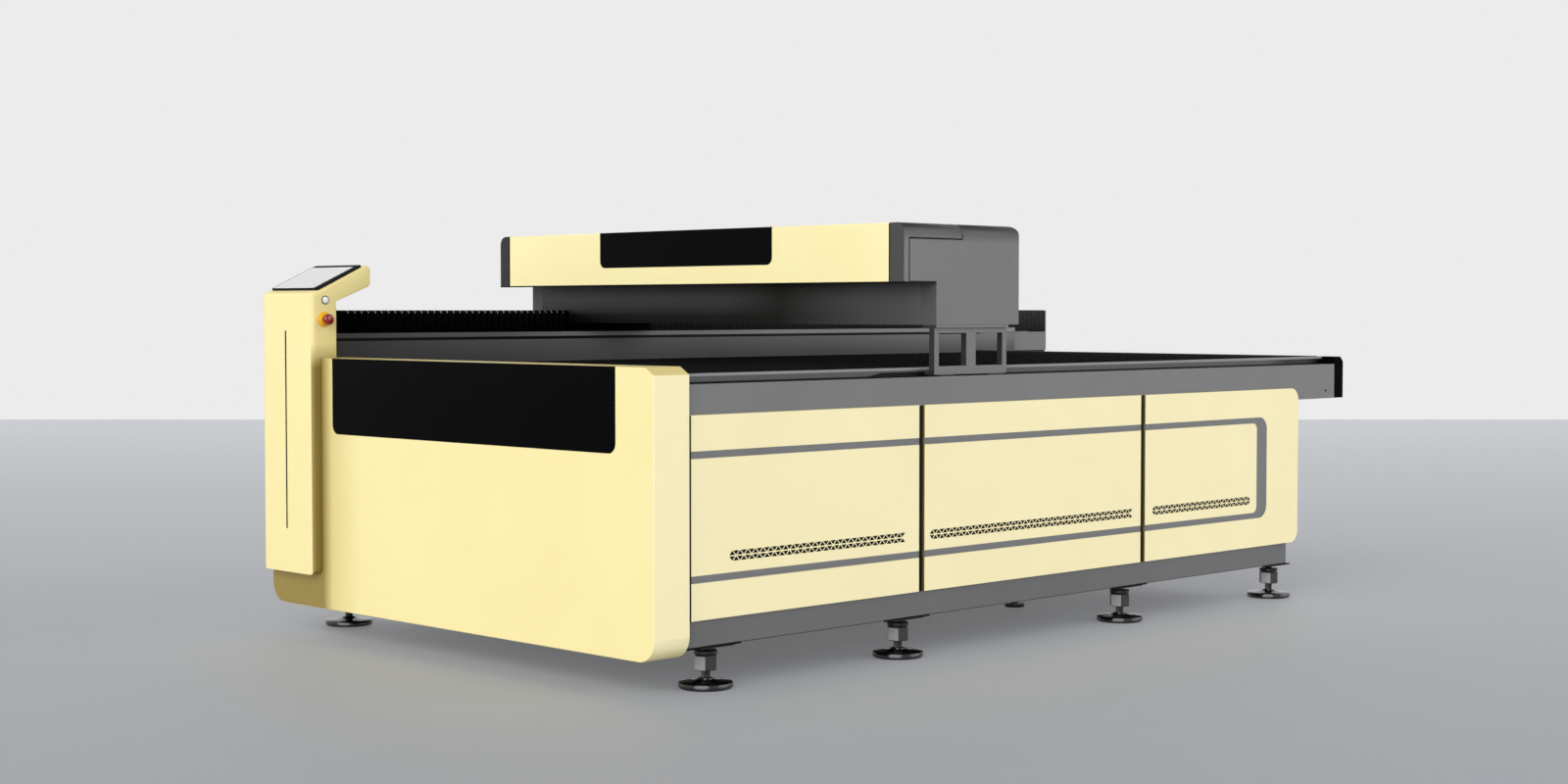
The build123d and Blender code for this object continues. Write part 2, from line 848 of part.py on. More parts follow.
# Side covers of the gantry: L-shaped trays, open inward, stepped for the lid's end caps
def side_cover_face(inset):
    """Outline of a side cover, drawn in by an even margin."""
    lid_back = lid_rear + lid_gap
    lid_under = gantry_top - lid_top_depth - lid_gap
    with BuildSketch() as face:
        span(crossbeam_front + inset, gantry_rear - inset, gantry_bottom + inset, lid_under - inset)
        span(
            gantry_front + lid_front_depth + lid_gap + inset,
            gantry_rear - inset,
            crossbeam_top + inset,
            lid_under - inset,
        )
        span(lid_back + inset, gantry_rear - inset, gantry_bottom + inset, gantry_top - inset)
        fillet(face.vertices().group_by(Axis.X)[-1].sort_by(Axis.Y)[-1], radius=side_corner - inset)
    return face.sketch


def trim_corners(inset):
    """Cut the part that is open back to the housing's front view, with its outer top corners rounded."""
    with BuildSketch(cross_section(gantry_front)) as outline:
        span(gantry_left + inset, gantry_right - inset, gantry_bottom + inset, gantry_top - inset)
        fillet(outline.vertices().group_by(Axis.Y)[-1], radius=cap_round - inset)
    extrude(outline.sketch, amount=-gantry_depth, mode=Mode.INTERSECT)


def side_cover_body(inner_x, outer_x, inset):
    """Solid of a side cover, drawn in by an even margin, with its outer top edge rounded."""
    with BuildPart() as body:
        with BuildSketch(side_view(inner_x)):
            add(side_cover_face(inset))
        extrude(amount=outer_x - inner_x)
        trim_corners(inset)
    return body.part


with BuildPart() as side_covers:
    for inner_x, outer_x in ((lid_right, gantry_right), (lid_left, gantry_left)):
        outward = 1 if outer_x > inner_x else -1
        add(side_cover_body(inner_x, outer_x, 0))
        add(side_cover_body(inner_x, outer_x - outward * side_wall, side_wall), mode=Mode.SUBTRACT)
save(side_covers, "side_covers")


def knuckle(place, length):
    """Barrel of a hinge along the lid's rear edge, added to the part that is open."""
    middle = (x_mid + place, y_front + hinge_y, hinge_z)
    with Locations(Location(middle, (0, 90, 0))):
        Cylinder(hinge_barrel, length)


# Rear cover: one bent sheet that closes the gantry above and behind, with the hinges' fixed halves
with BuildPart() as rear_cover:
    with BuildSketch(side_view(lid_left)) as bent_sheet:
        span(lid_rear + lid_gap, gantry_rear, gantry_bottom, gantry_top)
        fillet(bent_sheet.vertices().group_by(Axis.X)[-1].sort_by(Axis.Y)[-1], radius=side_corner)
        with BuildSketch(mode=Mode.PRIVATE) as hollow:
            span(lid_rear - lid_gap, gantry_rear - lid_sheet, gantry_bottom, gantry_top - lid_sheet)
            fillet(hollow.vertices().group_by(Axis.X)[-1].sort_by(Axis.Y)[-1], radius=side_corner - lid_sheet)
        add(hollow.sketch, mode=Mode.SUBTRACT)
    extrude(amount=lid_right - lid_left)
    with BuildSketch(plan_view(gantry_top)):
        for place in hinge_places:
            for shift in (-hinge_part, hinge_part):
                middle = place + shift
                span(middle - hinge_part / 2, middle + hinge_part / 2, hinge_y, hinge_y + hinge_leaf)
    extrude(amount=hinge_sheet)
    for place in hinge_places:
        knuckle(place - hinge_part, hinge_part)
        knuckle(place + hinge_part, hinge_part)
        with Locations(Location((x_mid + place, y_front + hinge_y, hinge_z), (0, 90, 0))):
            Cylinder(hinge_pin, 3 * hinge_part)
save(rear_cover, "rear_cover")


# Lid: a hollow L-shaped profile with a black window in front, caps on its ends and hinge barrels behind
def lid_face(inset):
    """Outline of the lid's end, drawn in by an even margin."""
    front = gantry_front + inset
    with BuildSketch() as face:
        span(front, gantry_front + lid_front_depth - inset, lid_bottom + inset, gantry_top - inset)
        span(front, lid_rear - inset, gantry_top - lid_top_depth + inset, gantry_top - inset)
        fillet(face.vertices().group_by(Axis.X)[0].sort_by(Axis.Y)[-1], radius=lid_corner)
    return face.sketch


lid_window_left = lid_middle - lid_window_width / 2
lid_window_right = lid_middle + lid_window_width / 2
with BuildPart() as lid_shell:
    with BuildSketch(side_view(lid_left)):
        add(lid_face(0))
        add(lid_face(lid_sheet), mode=Mode.SUBTRACT)
    extrude(amount=lid_right - lid_left)
    with BuildSketch(cross_section(gantry_front)) as lid_window_cut:
        span(lid_window_left, lid_window_right, lid_window_bottom, gantry_top)
        fillet(lid_window_cut.vertices().group_by(Axis.Y)[0], radius=lid_window_corner)
    extrude(amount=-lid_sheet, mode=Mode.SUBTRACT)
    with BuildSketch(plan_view(gantry_top)):
        for place in hinge_places:
            half = hinge_part / 2 - hinge_play
            span(place - half, place + half, hinge_y - hinge_leaf, hinge_y)
    extrude(amount=hinge_sheet)
    for place in hinge_places:
        knuckle(place, hinge_part - 2 * hinge_play)
        with Locations(Location((x_mid + place, y_front + hinge_y, hinge_z), (0, 90, 0))):
            Cylinder(hinge_pin + running, hinge_part, mode=Mode.SUBTRACT)
save(lid_shell, "lid_shell")

with BuildPart() as lid_window:
    with BuildSketch(cross_section(gantry_front)) as lid_glass:
        span(
            lid_window_left + fit_gap,
            lid_window_right - fit_gap,
            lid_window_bottom + fit_gap,
            gantry_top,
        )
        fillet(lid_glass.vertices().group_by(Axis.Y)[0], radius=lid_window_corner)
    extrude(amount=-lid_sheet)
    with BuildSketch(cross_section(gantry_front + lid_sheet)):
        span(
            lid_window_left - pane_rim,
            lid_window_right + pane_rim,
            lid_window_bottom - pane_rim,
            gantry_top - lid_sheet - lid_corner,
        )
    extrude(amount=-pane)
save(lid_window, "lid_window")

with BuildPart() as lid_end_caps:
    for inner_x, outer_x in ((lid_right, gantry_right), (lid_left, gantry_left)):
        with BuildSketch(side_view(inner_x)):
            add(lid_face(0))
        extrude(amount=outer_x - inner_x)
    trim_corners(0)
save(lid_end_caps, "lid_end_caps")

# Box behind the left beam that holds the drive motor, with the plate that ends the bellows
with BuildPart() as drive_box:
    with BuildSketch(cross_section(left_beam_end)):
        span(box_left, box_right, box_bottom, left_beam_top)
        span(
            box_left + box_wall,
            box_right - box_wall,
            box_bottom + box_wall,
            left_beam_top - box_wall,
            mode=Mode.SUBTRACT,
        )
    extrude(amount=left_beam_end - end_plate_front)
    with BuildSketch(plan_view(left_beam_top - box_wall)):
        span(
            screw_x - pulley_radius - 2 * belt_thick,
            screw_x + pulley_radius + 2 * belt_thick,
            belt_y - belt_thick,
            belt_y + pulley_width + belt_thick,
        )
    extrude(amount=box_wall, mode=Mode.SUBTRACT)
    with BuildSketch(cross_section(end_plate_front)):
        span(box_left, box_right, box_bottom, bellows_top)
    extrude(amount=-end_plate)
save(drive_box, "drive_box")

# Screw bearings: the front one is also the plate where the bellows start
with BuildPart() as screw_bearings:
    with BuildSketch(cross_section(bearing_front)):
        span(box_left, box_right, left_beam_top, bellows_top)
        span(
            guide_left - rail_size / 2 - fit_gap,
            guide_left + rail_size / 2 + fit_gap,
            left_beam_top,
            left_beam_top + rail_size + fit_gap,
            mode=Mode.SUBTRACT,
        )
        with Locations((screw_x, screw_z)):
            Circle(journal_radius + running, mode=Mode.SUBTRACT)
    extrude(amount=-bearing)
    with BuildSketch(cross_section(bearing_rear)):
        span(screw_x - nut_width / 2, screw_x + nut_width / 2, left_beam_top, screw_z + nut_width / 2)
        with Locations((screw_x, screw_z)):
            Circle(journal_radius + running, mode=Mode.SUBTRACT)
    extrude(amount=-bearing)
save(screw_bearings, "screw_bearings")

# Ball screw with a journal at each end and its pulley behind the rear bearing
with BuildPart() as ball_screw:
    with BuildSketch(cross_section(bearing_front)):
        with Locations((screw_x, screw_z)):
            Circle(journal_radius)
    extrude(amount=bearing_front - belt_y)
    with BuildSketch(cross_section(bearing_front + bearing + fit_gap)):
        with Locations((screw_x, screw_z)):
            Circle(screw_radius)
    extrude(amount=bearing_front + bearing + 2 * fit_gap - bearing_rear)
    with BuildSketch(cross_section(belt_y)):
        with Locations((screw_x, screw_z)):
            Circle(pulley_radius)
    extrude(amount=-pulley_width)
save(ball_screw, "ball_screw")

# Drive motor on a plate that stands on the box's floor
motor_front = belt_y - belt_thick - motor_plate
with BuildPart() as drive_motor:
    with BuildSketch(cross_section(motor_front - motor_length)):
        with Locations((screw_x, motor_z)):
            RectangleRounded(motor_size, motor_size, motor_plate)
    extrude(amount=-motor_length)
    with BuildSketch(cross_section(motor_front)):
        span(
            screw_x - motor_size,
            screw_x + motor_size / 2,
            box_bottom + box_wall,
            motor_z + motor_size / 2,
        )
    extrude(amount=-motor_plate)
    with BuildSketch(cross_section(motor_front - motor_plate)):
        with Locations((screw_x, motor_z)):
            Circle(axle + running)
    extrude(amount=-2 * motor_plate, mode=Mode.SUBTRACT)
save(drive_motor, "drive_motor")

with BuildPart() as motor_pulley:
    with BuildSketch(cross_section(belt_y)):
        with Locations((screw_x, motor_z)):
            Circle(pulley_radius)
    extrude(amount=-pulley_width)
    with BuildSketch(cross_section(motor_front - motor_plate + fit_gap)):
        with Locations((screw_x, motor_z)):
            Circle(axle)
    extrude(amount=motor_front - motor_plate + fit_gap - belt_y)
save(motor_pulley, "motor_pulley")

with BuildPart() as drive_belt:
    with BuildSketch(cross_section(belt_y + belt_inset)):
        with Locations((screw_x, (screw_z + motor_z) / 2)):
            loop_height = 2 * (pulley_radius + fit_gap)
            SlotCenterToCenter(screw_z - motor_z, loop_height + 2 * belt_thick, rotation=90)
            SlotCenterToCenter(screw_z - motor_z, loop_height, rotation=90, mode=Mode.SUBTRACT)
    extrude(amount=2 * belt_inset - pulley_width)
save(drive_belt, "drive_belt")


# Bellows: ridges and valleys in turn, each an inverted U that is open below
def bellows(start, end):
    """One run of pleats between two places along the left beam."""
    folds = 2 * round((end - start) / bellows_pitch)
    low = left_beam_top + bellows_sheet
    with BuildPart() as pleats:
        for fold in range(folds + 1):
            depth = bellows_fold * (fold % 2)
            left = box_left + depth
            right = box_right - depth
            top = bellows_top - depth
            with BuildSketch(cross_section(start + (end - start) * fold / folds)):
                Polygon(
                    (left, low),
                    (left, top),
                    (right, top),
                    (right, low),
                    (right - bellows_sheet, low),
                    (right - bellows_sheet, top - bellows_sheet),
                    (left + bellows_sheet, top - bellows_sheet),
                    (left + bellows_sheet, low),
                    align=None,
                )
        loft(ruled=True)
    return pleats


save(bellows(bearing_front + bearing + fit_gap, crossbeam_front - fit_gap), "front_bellows")
save(bellows(gantry_rear + fit_gap, end_plate_front - fit_gap), "rear_bellows")

# Laser tube in its clamps on the crossbeam
with BuildPart() as laser_tube:
    with BuildSketch(side_view(tube_left)):
        with Locations((tube_y, tube_z)):
            Circle(tube_radius)
    extrude(amount=tube_right - tube_left)
    chamfer(laser_tube.edges(), length=tube_radius / 3)
    with BuildSketch(side_view(tube_left - tube_radius)):
        with Locations((tube_y, tube_z)):
            Circle(tube_radius / 2)
    extrude(amount=tube_right - tube_left + 2 * tube_radius)
save(laser_tube, "laser_tube")

with BuildPart() as tube_clamps:
    for place in clamp_places:
        reach = tube_radius + clamp_margin
        with BuildSketch(side_view(place - clamp_width / 2)):
            span(tube_y - reach, tube_y + reach, crossbeam_top, tube_z)
            with Locations((tube_y, tube_z)):
                Circle(reach)
                Circle(tube_radius + fit_gap, mode=Mode.SUBTRACT)
        extrude(amount=clamp_width)
save(tube_clamps, "tube_clamps")

# Mirrors that fold the beam from the tube's end to the head's path behind the crossbeam
with BuildPart() as mirror_mounts:
    with BuildSketch(plan_view(crossbeam_top)):
        span(
            mirror_x - mirror_size / 2,
            mirror_x + mirror_size / 2,
            crossbeam_rear - mirror_size,
            head_y + mirror_size / 2,
        )
        with Locations((mirror_x, tube_y)):
            Rectangle(mirror_size, mirror_size)
    extrude(amount=mirror_thick)
    with BuildSketch(plan_view(crossbeam_top)):
        with Locations((mirror_x, tube_y), (mirror_x, head_y)):
            Circle(mirror_thick)
    extrude(amount=tube_z - crossbeam_top)
    with BuildSketch(plan_view(tube_z - mirror_size / 2)):
        with Locations((mirror_x, tube_y)):
            Rectangle(mirror_size, mirror_thick, rotation=45)
        with Locations((mirror_x, head_y)):
            Rectangle(mirror_size, mirror_thick, rotation=-45)
    extrude(amount=mirror_size)
save(mirror_mounts, "mirror_mounts")

# Cross rail on the back of the crossbeam
rail_back = crossbeam_rear + cross_rail
with BuildPart() as cross_rail_bar:
    with BuildSketch(side_view(lid_left)):
        span(crossbeam_rear, rail_back, cross_rail_z, cross_rail_z + cross_rail)
    extrude(amount=lid_right - lid_left)
save(cross_rail_bar, "cross_rail")

# Cutting head: block and plate on the cross rail, mirror housing, lens tube's clamp, belt jaws
plate_front = rail_back + guide_gap
plate_back = plate_front + head_plate
clamp_low = cross_rail_z - lens_clamp
with BuildPart() as head_carriage:
    with BuildSketch(side_view(head_x - cross_block / 2)):
        span(
            crossbeam_rear + guide_gap,
            plate_front,
            cross_rail_z - cross_rail / 2,
            cross_rail_z + 1.5 * cross_rail,
        )
        span(
            crossbeam_rear,
            rail_back + running,
            cross_rail_z - running,
            cross_rail_z + cross_rail + running,
            mode=Mode.SUBTRACT,
        )
    extrude(amount=cross_block)
    with BuildSketch(cross_section(plate_front)):
        span(head_x - head_width / 2, head_x + head_width / 2, clamp_low, tube_z + mirror_size / 2)
    extrude(amount=-head_plate)
    with BuildSketch(plan_view(clamp_low)):
        span(head_x - lens_radius, head_x + lens_radius, plate_front, head_y)
        with Locations((head_x, head_y)):
            Circle(lens_radius + head_plate)
            Circle(lens_radius + running, mode=Mode.SUBTRACT)
    extrude(amount=lens_clamp)
    with BuildSketch(side_view(head_x - mirror_size / 2)):
        span(plate_back, head_y + mirror_size / 2, tube_z - mirror_size / 2, tube_z + mirror_size / 2)
    extrude(amount=mirror_size)
    chamfer(head_carriage.faces().sort_by(Axis.Z)[-1].edges().sort_by(Axis.Y)[-1], length=mirror_size / 3)
    with BuildSketch(side_view(head_x - cross_block / 2)):
        belt_low = cross_pulley_z + cross_pulley + fit_gap
        belt_high = belt_low + belt_thick
        span(crossbeam_rear + guide_gap, plate_front, belt_low - jaw, belt_low - fit_gap)
        span(crossbeam_rear + guide_gap, plate_front, belt_high + fit_gap, belt_high + jaw)
    extrude(amount=cross_block / 2)
save(head_carriage, "head_carriage")

lens_axis = Plane(origin=(x_mid + head_x, y_front + head_y, 0), x_dir=(1, 0, 0), z_dir=(0, -1, 0))
with BuildPart() as lens_tube:
    with BuildSketch(lens_axis):
        with BuildLine():
            Polyline(
                (0, nozzle_tip),
                (lens_radius / 4, nozzle_tip),
                (lens_radius / 1.5, nozzle_tip + nozzle_rise),
                (lens_radius, nozzle_tip + nozzle_rise),
                (lens_radius, cross_pulley_z),
                (0, cross_pulley_z),
                close=True,
            )
        make_face()
    revolve(axis=Axis(lens_axis.origin, (0, 0, 1)))
save(lens_tube, "lens_tube")

# Cross drive: motor on a bracket at the left, idler at the right, toothed belt between them
belt_front = crossbeam_rear + (cross_rail - cross_belt_width) / 2
bracket_front = rail_back + guide_gap
bracket_half = cross_pulley + 2 * belt_thick + guide_gap
with BuildPart() as cross_motor:
    with BuildSketch(cross_section(bracket_front)):
        with Locations((cross_motor_x, cross_pulley_z)):
            Rectangle(cross_motor_size, 2 * bracket_half)
    extrude(amount=-motor_plate)
    with BuildSketch(cross_section(crossbeam_rear)):
        with Locations((cross_motor_x, cross_pulley_z)):
            Rectangle(cross_motor_size, 2 * bracket_half)
            Rectangle(cross_motor_size, 2 * (bracket_half - guide_gap), mode=Mode.SUBTRACT)
    extrude(amount=crossbeam_rear - bracket_front)
    with BuildSketch(cross_section(bracket_front + motor_plate)):
        with Locations((cross_motor_x, cross_pulley_z)):
            RectangleRounded(cross_motor_size, cross_motor_size, motor_plate)
    extrude(amount=-cross_motor_length)
    with BuildSketch(cross_section(bracket_front)):
        with Locations((cross_motor_x, cross_pulley_z)):
            Circle(axle + running)
    extrude(amount=-2 * motor_plate, mode=Mode.SUBTRACT)
save(cross_motor, "cross_motor")

with BuildPart() as cross_pulley_drive:
    with BuildSketch(cross_section(belt_front)):
        with Locations((cross_motor_x, cross_pulley_z)):
            Circle(cross_pulley)
    extrude(amount=-cross_belt_width)
    with BuildSketch(cross_section(belt_front)):
        with Locations((cross_motor_x, cross_pulley_z)):
            Circle(axle)
    extrude(amount=belt_front - bracket_front - 2 * motor_plate + fit_gap)
save(cross_pulley_drive, "cross_drive_pulley")

with BuildPart() as cross_idler:
    with BuildSketch(cross_section(belt_front)):
        with Locations((cross_idler_x, cross_pulley_z)):
            Circle(cross_pulley)
            Circle(axle + running, mode=Mode.SUBTRACT)
    extrude(amount=-cross_belt_width)
save(cross_idler, "cross_idler")

with BuildPart() as cross_belt:
    with BuildSketch(cross_section(belt_front + belt_inset)):
        with Locations(((cross_motor_x + cross_idler_x) / 2, cross_pulley_z)):
            belt_run = cross_idler_x - cross_motor_x
            belt_height = 2 * (cross_pulley + fit_gap)
            SlotCenterToCenter(belt_run, belt_height + 2 * belt_thick)
            SlotCenterToCenter(belt_run, belt_height, mode=Mode.SUBTRACT)
    extrude(amount=2 * belt_inset - cross_belt_width)
save(cross_belt, "cross_belt")
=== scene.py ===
# Flatbed laser cutting machine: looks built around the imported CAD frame, in metres, +Z up.
import json
import math

import bmesh
import bpy
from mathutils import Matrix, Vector


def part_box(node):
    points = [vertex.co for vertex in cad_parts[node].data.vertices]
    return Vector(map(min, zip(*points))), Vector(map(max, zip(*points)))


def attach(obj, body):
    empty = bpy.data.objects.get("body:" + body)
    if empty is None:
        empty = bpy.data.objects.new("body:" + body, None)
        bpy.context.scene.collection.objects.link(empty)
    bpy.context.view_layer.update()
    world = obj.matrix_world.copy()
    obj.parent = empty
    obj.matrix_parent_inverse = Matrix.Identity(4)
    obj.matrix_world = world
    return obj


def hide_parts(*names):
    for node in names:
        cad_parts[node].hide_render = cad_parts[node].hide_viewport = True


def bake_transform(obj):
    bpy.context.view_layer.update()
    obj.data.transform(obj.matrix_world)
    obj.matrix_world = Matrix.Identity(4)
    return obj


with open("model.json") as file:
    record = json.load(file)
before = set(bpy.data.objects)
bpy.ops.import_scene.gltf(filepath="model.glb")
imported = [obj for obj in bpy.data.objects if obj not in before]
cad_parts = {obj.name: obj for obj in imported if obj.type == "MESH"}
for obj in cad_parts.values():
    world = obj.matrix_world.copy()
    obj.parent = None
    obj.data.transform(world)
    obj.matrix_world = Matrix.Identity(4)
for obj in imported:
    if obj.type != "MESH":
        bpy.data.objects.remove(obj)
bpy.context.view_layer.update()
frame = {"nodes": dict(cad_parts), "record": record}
nodes = frame["nodes"]
scene = bpy.context.scene
scene.view_settings.view_transform = "Standard"

# Machine axes in millimetres: x from the bed's middle, y rearward from the front cover, z from the floor
MM = 0.001
SHIFT_X = 43.25
SHIFT_Y = -1939.0


def at(x, y, z):
    """Point in the frame, from machine axes in millimetres."""
    return Vector((x + SHIFT_X, y + SHIFT_Y, z)) * MM


# Camera at the photograph's viewpoint
FOCAL_PIXELS = 2273.06
FRAME_PIXELS = 1600
VIEWPOINT = (5446.6, -3953.6, 1057.6)
YAW = math.radians(45.32)
PITCH = math.radians(2.12)
camera_data = bpy.data.cameras.new("camera")
camera_data.sensor_width = 36
camera_data.lens = FOCAL_PIXELS / FRAME_PIXELS * camera_data.sensor_width
camera_data.clip_end = 200
camera = bpy.data.objects.new("camera", camera_data)
camera.location = at(*VIEWPOINT)
camera.rotation_euler = (math.pi / 2 - PITCH, 0, YAW)
scene.collection.objects.link(camera)
scene.camera = camera

# Stage: a pale floor that ends behind the machine, as in the photograph
FLOOR_FAR = 21.4
FLOOR_NEAR = -30.0
FLOOR_HALF = 60.0
ahead = Vector((-math.sin(YAW), math.cos(YAW), 0))
aside = Vector((math.cos(YAW), math.sin(YAW), 0))
foot_point = Vector((camera.location.x, camera.location.y, 0))


def link(name, mesh):
    """New object for a mesh."""
    piece = bpy.data.objects.new(name, mesh)
    scene.collection.objects.link(piece)
    return piece


floor_mesh = bpy.data.meshes.new("floor")
floor_corners = []
for along, across in ((FLOOR_NEAR, -1), (FLOOR_NEAR, 1), (FLOOR_FAR, 1), (FLOOR_FAR, -1)):
    floor_corners.append(foot_point + ahead * along + aside * across * FLOOR_HALF)
floor_mesh.from_pydata(floor_corners, [], [(0, 1, 2, 3)])
floor = link("floor", floor_mesh)


# Materials
def srgb(red, green, blue):
    """Linear colour from 8-bit sRGB."""
    out = []
    for value in (red, green, blue):
        c = value / 255
        out.append(c / 12.92 if c <= 0.04045 else ((c + 0.055) / 1.055) ** 2.4)
    return (*out, 1)


def even(level):
    """Linear gray from an 8-bit sRGB level."""
    return srgb(level, level, level + 1)


def add_node(tree, kind, **values):
    """New shader node with its inputs and properties set."""
    node = tree.nodes.new(kind)
    for name, value in values.items():
        if name in node.inputs:
            node.inputs[name].default_value = value
        else:
            setattr(node, name, value)
    return node


def noise(tree, coords, scale, detail=2.0, stretch=(1, 1, 1)):
    """Noise in object space, at a given number of cells a metre."""
    mapping = add_node(tree, "ShaderNodeMapping")
    mapping.inputs["Scale"].default_value = stretch
    tree.links.new(coords.outputs["Object"], mapping.inputs["Vector"])
    texture = add_node(tree, "ShaderNodeTexNoise", Scale=scale, Detail=detail)
    tree.links.new(mapping.outputs["Vector"], texture.inputs["Vector"])
    return texture.outputs["Fac"]


def ranged(tree, value, limits, spread=(0.3, 0.7)):
    """Value carried from one range, as a rule that of noise, to another."""
    node = add_node(tree, "ShaderNodeMapRange")
    node.inputs["From Min"].default_value = spread[0]
    node.inputs["From Max"].default_value = spread[1]
    node.inputs["To Min"].default_value = limits[0]
    node.inputs["To Max"].default_value = limits[1]
    tree.links.new(value, node.inputs["Value"])
    return node.outputs["Result"]


def mixed(tree, share, first, second):
    """Mix of two colours; the share and the colours are values or sockets."""
    mix = add_node(tree, "ShaderNodeMix", data_type="RGBA")
    for socket, value in ((mix.inputs[0], share), (mix.inputs[6], first), (mix.inputs[7], second)):
        if isinstance(value, bpy.types.NodeSocket):
            tree.links.new(value, socket)
        else:
            socket.default_value = value
    return mix.outputs[2]


def place_share(tree, coords, axis, low, high):
    """Share that grows from 0 to 1 between two places along a machine axis, in millimetres."""
    shift = {"X": SHIFT_X, "Y": SHIFT_Y, "Z": 0}[axis]
    split = add_node(tree, "ShaderNodeSeparateXYZ")
    tree.links.new(coords.outputs["Object"], split.inputs["Vector"])
    return ranged(tree, split.outputs[axis], (0, 1), ((low + shift) * MM, (high + shift) * MM))


def facing_share(tree, coords, direction, limits=(0.6, 0.92)):
    """Share that is 1 where the surface faces a direction."""
    dot = add_node(tree, "ShaderNodeVectorMath", operation="DOT_PRODUCT")
    dot.inputs[1].default_value = direction
    tree.links.new(coords.outputs["Normal"], dot.inputs[0])
    return ranged(tree, dot.outputs["Value"], (0, 1), limits)


FRONT = (0, -1, 0)
RIGHT = (1, 0, 0)
UP = (0, 0, 1)


def finish_material(
    name,
    color,
    other,
    rough,
    peel=(900, 0.04),
    blotch=3.0,
    stretch=(1, 1, 1),
    metallic=0.0,
    specular=0.5,
    coat=0.0,
    shade=None,
    faces=(),
):
    """Material with two close colours in soft blotches, uneven gloss and a fine bump.

    faces lists directions with the tone of the surfaces turned that way: a colour, or a function
    that makes one from the node tree, its coordinates and the paint so far; limits of the turn may
    follow. shade is such a function for the whole paint."""
    mat = bpy.data.materials.new(name)
    mat.use_nodes = True
    tree = mat.node_tree
    bsdf = tree.nodes["Principled BSDF"]
    bsdf.inputs["Metallic"].default_value = metallic
    bsdf.inputs["Specular IOR Level"].default_value = specular
    bsdf.inputs["Coat Weight"].default_value = coat
    coords = add_node(tree, "ShaderNodeTexCoord")
    blotches = ranged(tree, noise(tree, coords, blotch, 4.0, stretch), (0, 1))
    paint = mixed(tree, blotches, color, other)
    # shade and faces paint light and shade onto the colour: by height or place, and by the way a surface
    # turns
    if shade:
        paint = shade(tree, coords, paint)
    for direction, tone, *limits in faces:
        if callable(tone):
            tone = tone(tree, coords, paint)
        paint = mixed(tree, facing_share(tree, coords, direction, *limits), paint, tone)
    tree.links.new(paint, bsdf.inputs["Base Color"])
    gloss = ranged(tree, noise(tree, coords, blotch * 12, 3.0, stretch), rough)
    tree.links.new(gloss, bsdf.inputs["Roughness"])
    bump = add_node(tree, "ShaderNodeBump", Strength=peel[1], Distance=MM)
    tree.links.new(noise(tree, coords, peel[0], 2.0, stretch), bump.inputs["Height"])
    tree.links.new(bump.outputs["Normal"], bsdf.inputs["Normal"])
    return mat


def by_height(low_tone, high_tone, low, high):
    """Tone that changes between two heights; None keeps the paint."""

    def tone(tree, coords, paint):
        share = place_share(tree, coords, "Z", low, high)
        return mixed(tree, share, low_tone or paint, high_tone or paint)

    return tone


def ramp(axis, *stops):
    """Tone that runs through pairs of place along an axis and colour; None keeps the paint."""

    def tone(tree, coords, paint):
        made = stops[0][1] or paint
        for (low, _), (high, color) in zip(stops, stops[1:]):
            made = mixed(tree, place_share(tree, coords, axis, low, high), made, color or paint)
        return made

    return tone


# Cream paint; its top faces are a darker olive, painted shade
CREAM = srgb(249, 235, 172)
CREAM_PALE = srgb(246, 231, 166)
CREAM_TOP_SHADE = srgb(208, 189, 112)
cream = finish_material("cream_paint", CREAM, CREAM_PALE, (0.34, 0.44), specular=0.4, faces=[(UP, CREAM_TOP_SHADE)])
# Panel paint: a paler, bluer copy of the cream as a painted sheen, with painted shade on top faces and a
# dark olive painted shade on front edges
PANEL_CREAM_SHEEN = srgb(247, 236, 188)
SHADED_EDGE = srgb(84, 72, 32)
panel_cream = finish_material(
    "panel_paint",
    PANEL_CREAM_SHEEN,
    srgb(245, 233, 184),
    (0.34, 0.44),
    specular=0.4,
    faces=[(UP, CREAM_TOP_SHADE), (FRONT, SHADED_EDGE)],
)
# The lid's paint is a brighter copy of the cream: painted light
lid_cream_lit = finish_material(
    "lid_paint", srgb(254, 242, 184), srgb(252, 239, 179), (0.34, 0.44), specular=0.4
)
# Front cover: a painted shadow darkens its front beside the console; painted shade on top faces, and the
# panels' painted sheen on its right side
console_shadow = ramp("X", (-650, srgb(150, 130, 66)), (-598, srgb(226, 209, 140)), (-440, None))
cover_cream = finish_material(
    "cover_paint",
    CREAM,
    CREAM_PALE,
    (0.34, 0.44),
    specular=0.4,
    faces=[(FRONT, console_shadow), (UP, CREAM_TOP_SHADE), (RIGHT, PANEL_CREAM_SHEEN)],
)
# The console's right side is painted in shade: a deep olive low down, paler above
SIDE_DEEP_SHADE = srgb(136, 117, 56)
SIDE_PALE = srgb(229, 213, 147)
SIDE_SHADE = (872, 950)
SIDE_TURN = (0.2, 0.5)
console_cream = finish_material(
    "console_paint",
    CREAM,
    CREAM_PALE,
    (0.34, 0.44),
    specular=0.4,
    faces=[(RIGHT, by_height(SIDE_DEEP_SHADE, SIDE_PALE, *SIDE_SHADE), SIDE_TURN)],
)
gray = finish_material("gray_paint", even(114), even(110), (0.36, 0.48), specular=0.35)
# Gantry housing: painted shade darkens the rounded top edge, the front faces and the top faces
TOP_SHADE = (1263, 1312)
rounded_top_shade = by_height(None, even(44), *TOP_SHADE)
gantry_gray = finish_material(
    "gantry_paint",
    even(110),
    even(106),
    (0.34, 0.46),
    specular=0.35,
    shade=rounded_top_shade,
    faces=[(FRONT, even(81)), (UP, even(48))],
)
# End caps of the lid: painted shade on their front faces, darker to the left, and on their tops
cap_front_shade = ramp("X", (-1048, even(38)), (932, even(69)))
cap_gray = finish_material(
    "cap_paint",
    even(110),
    even(106),
    (0.3, 0.42),
    specular=0.35,
    shade=rounded_top_shade,
    faces=[(FRONT, cap_front_shade), (UP, even(48))],
)
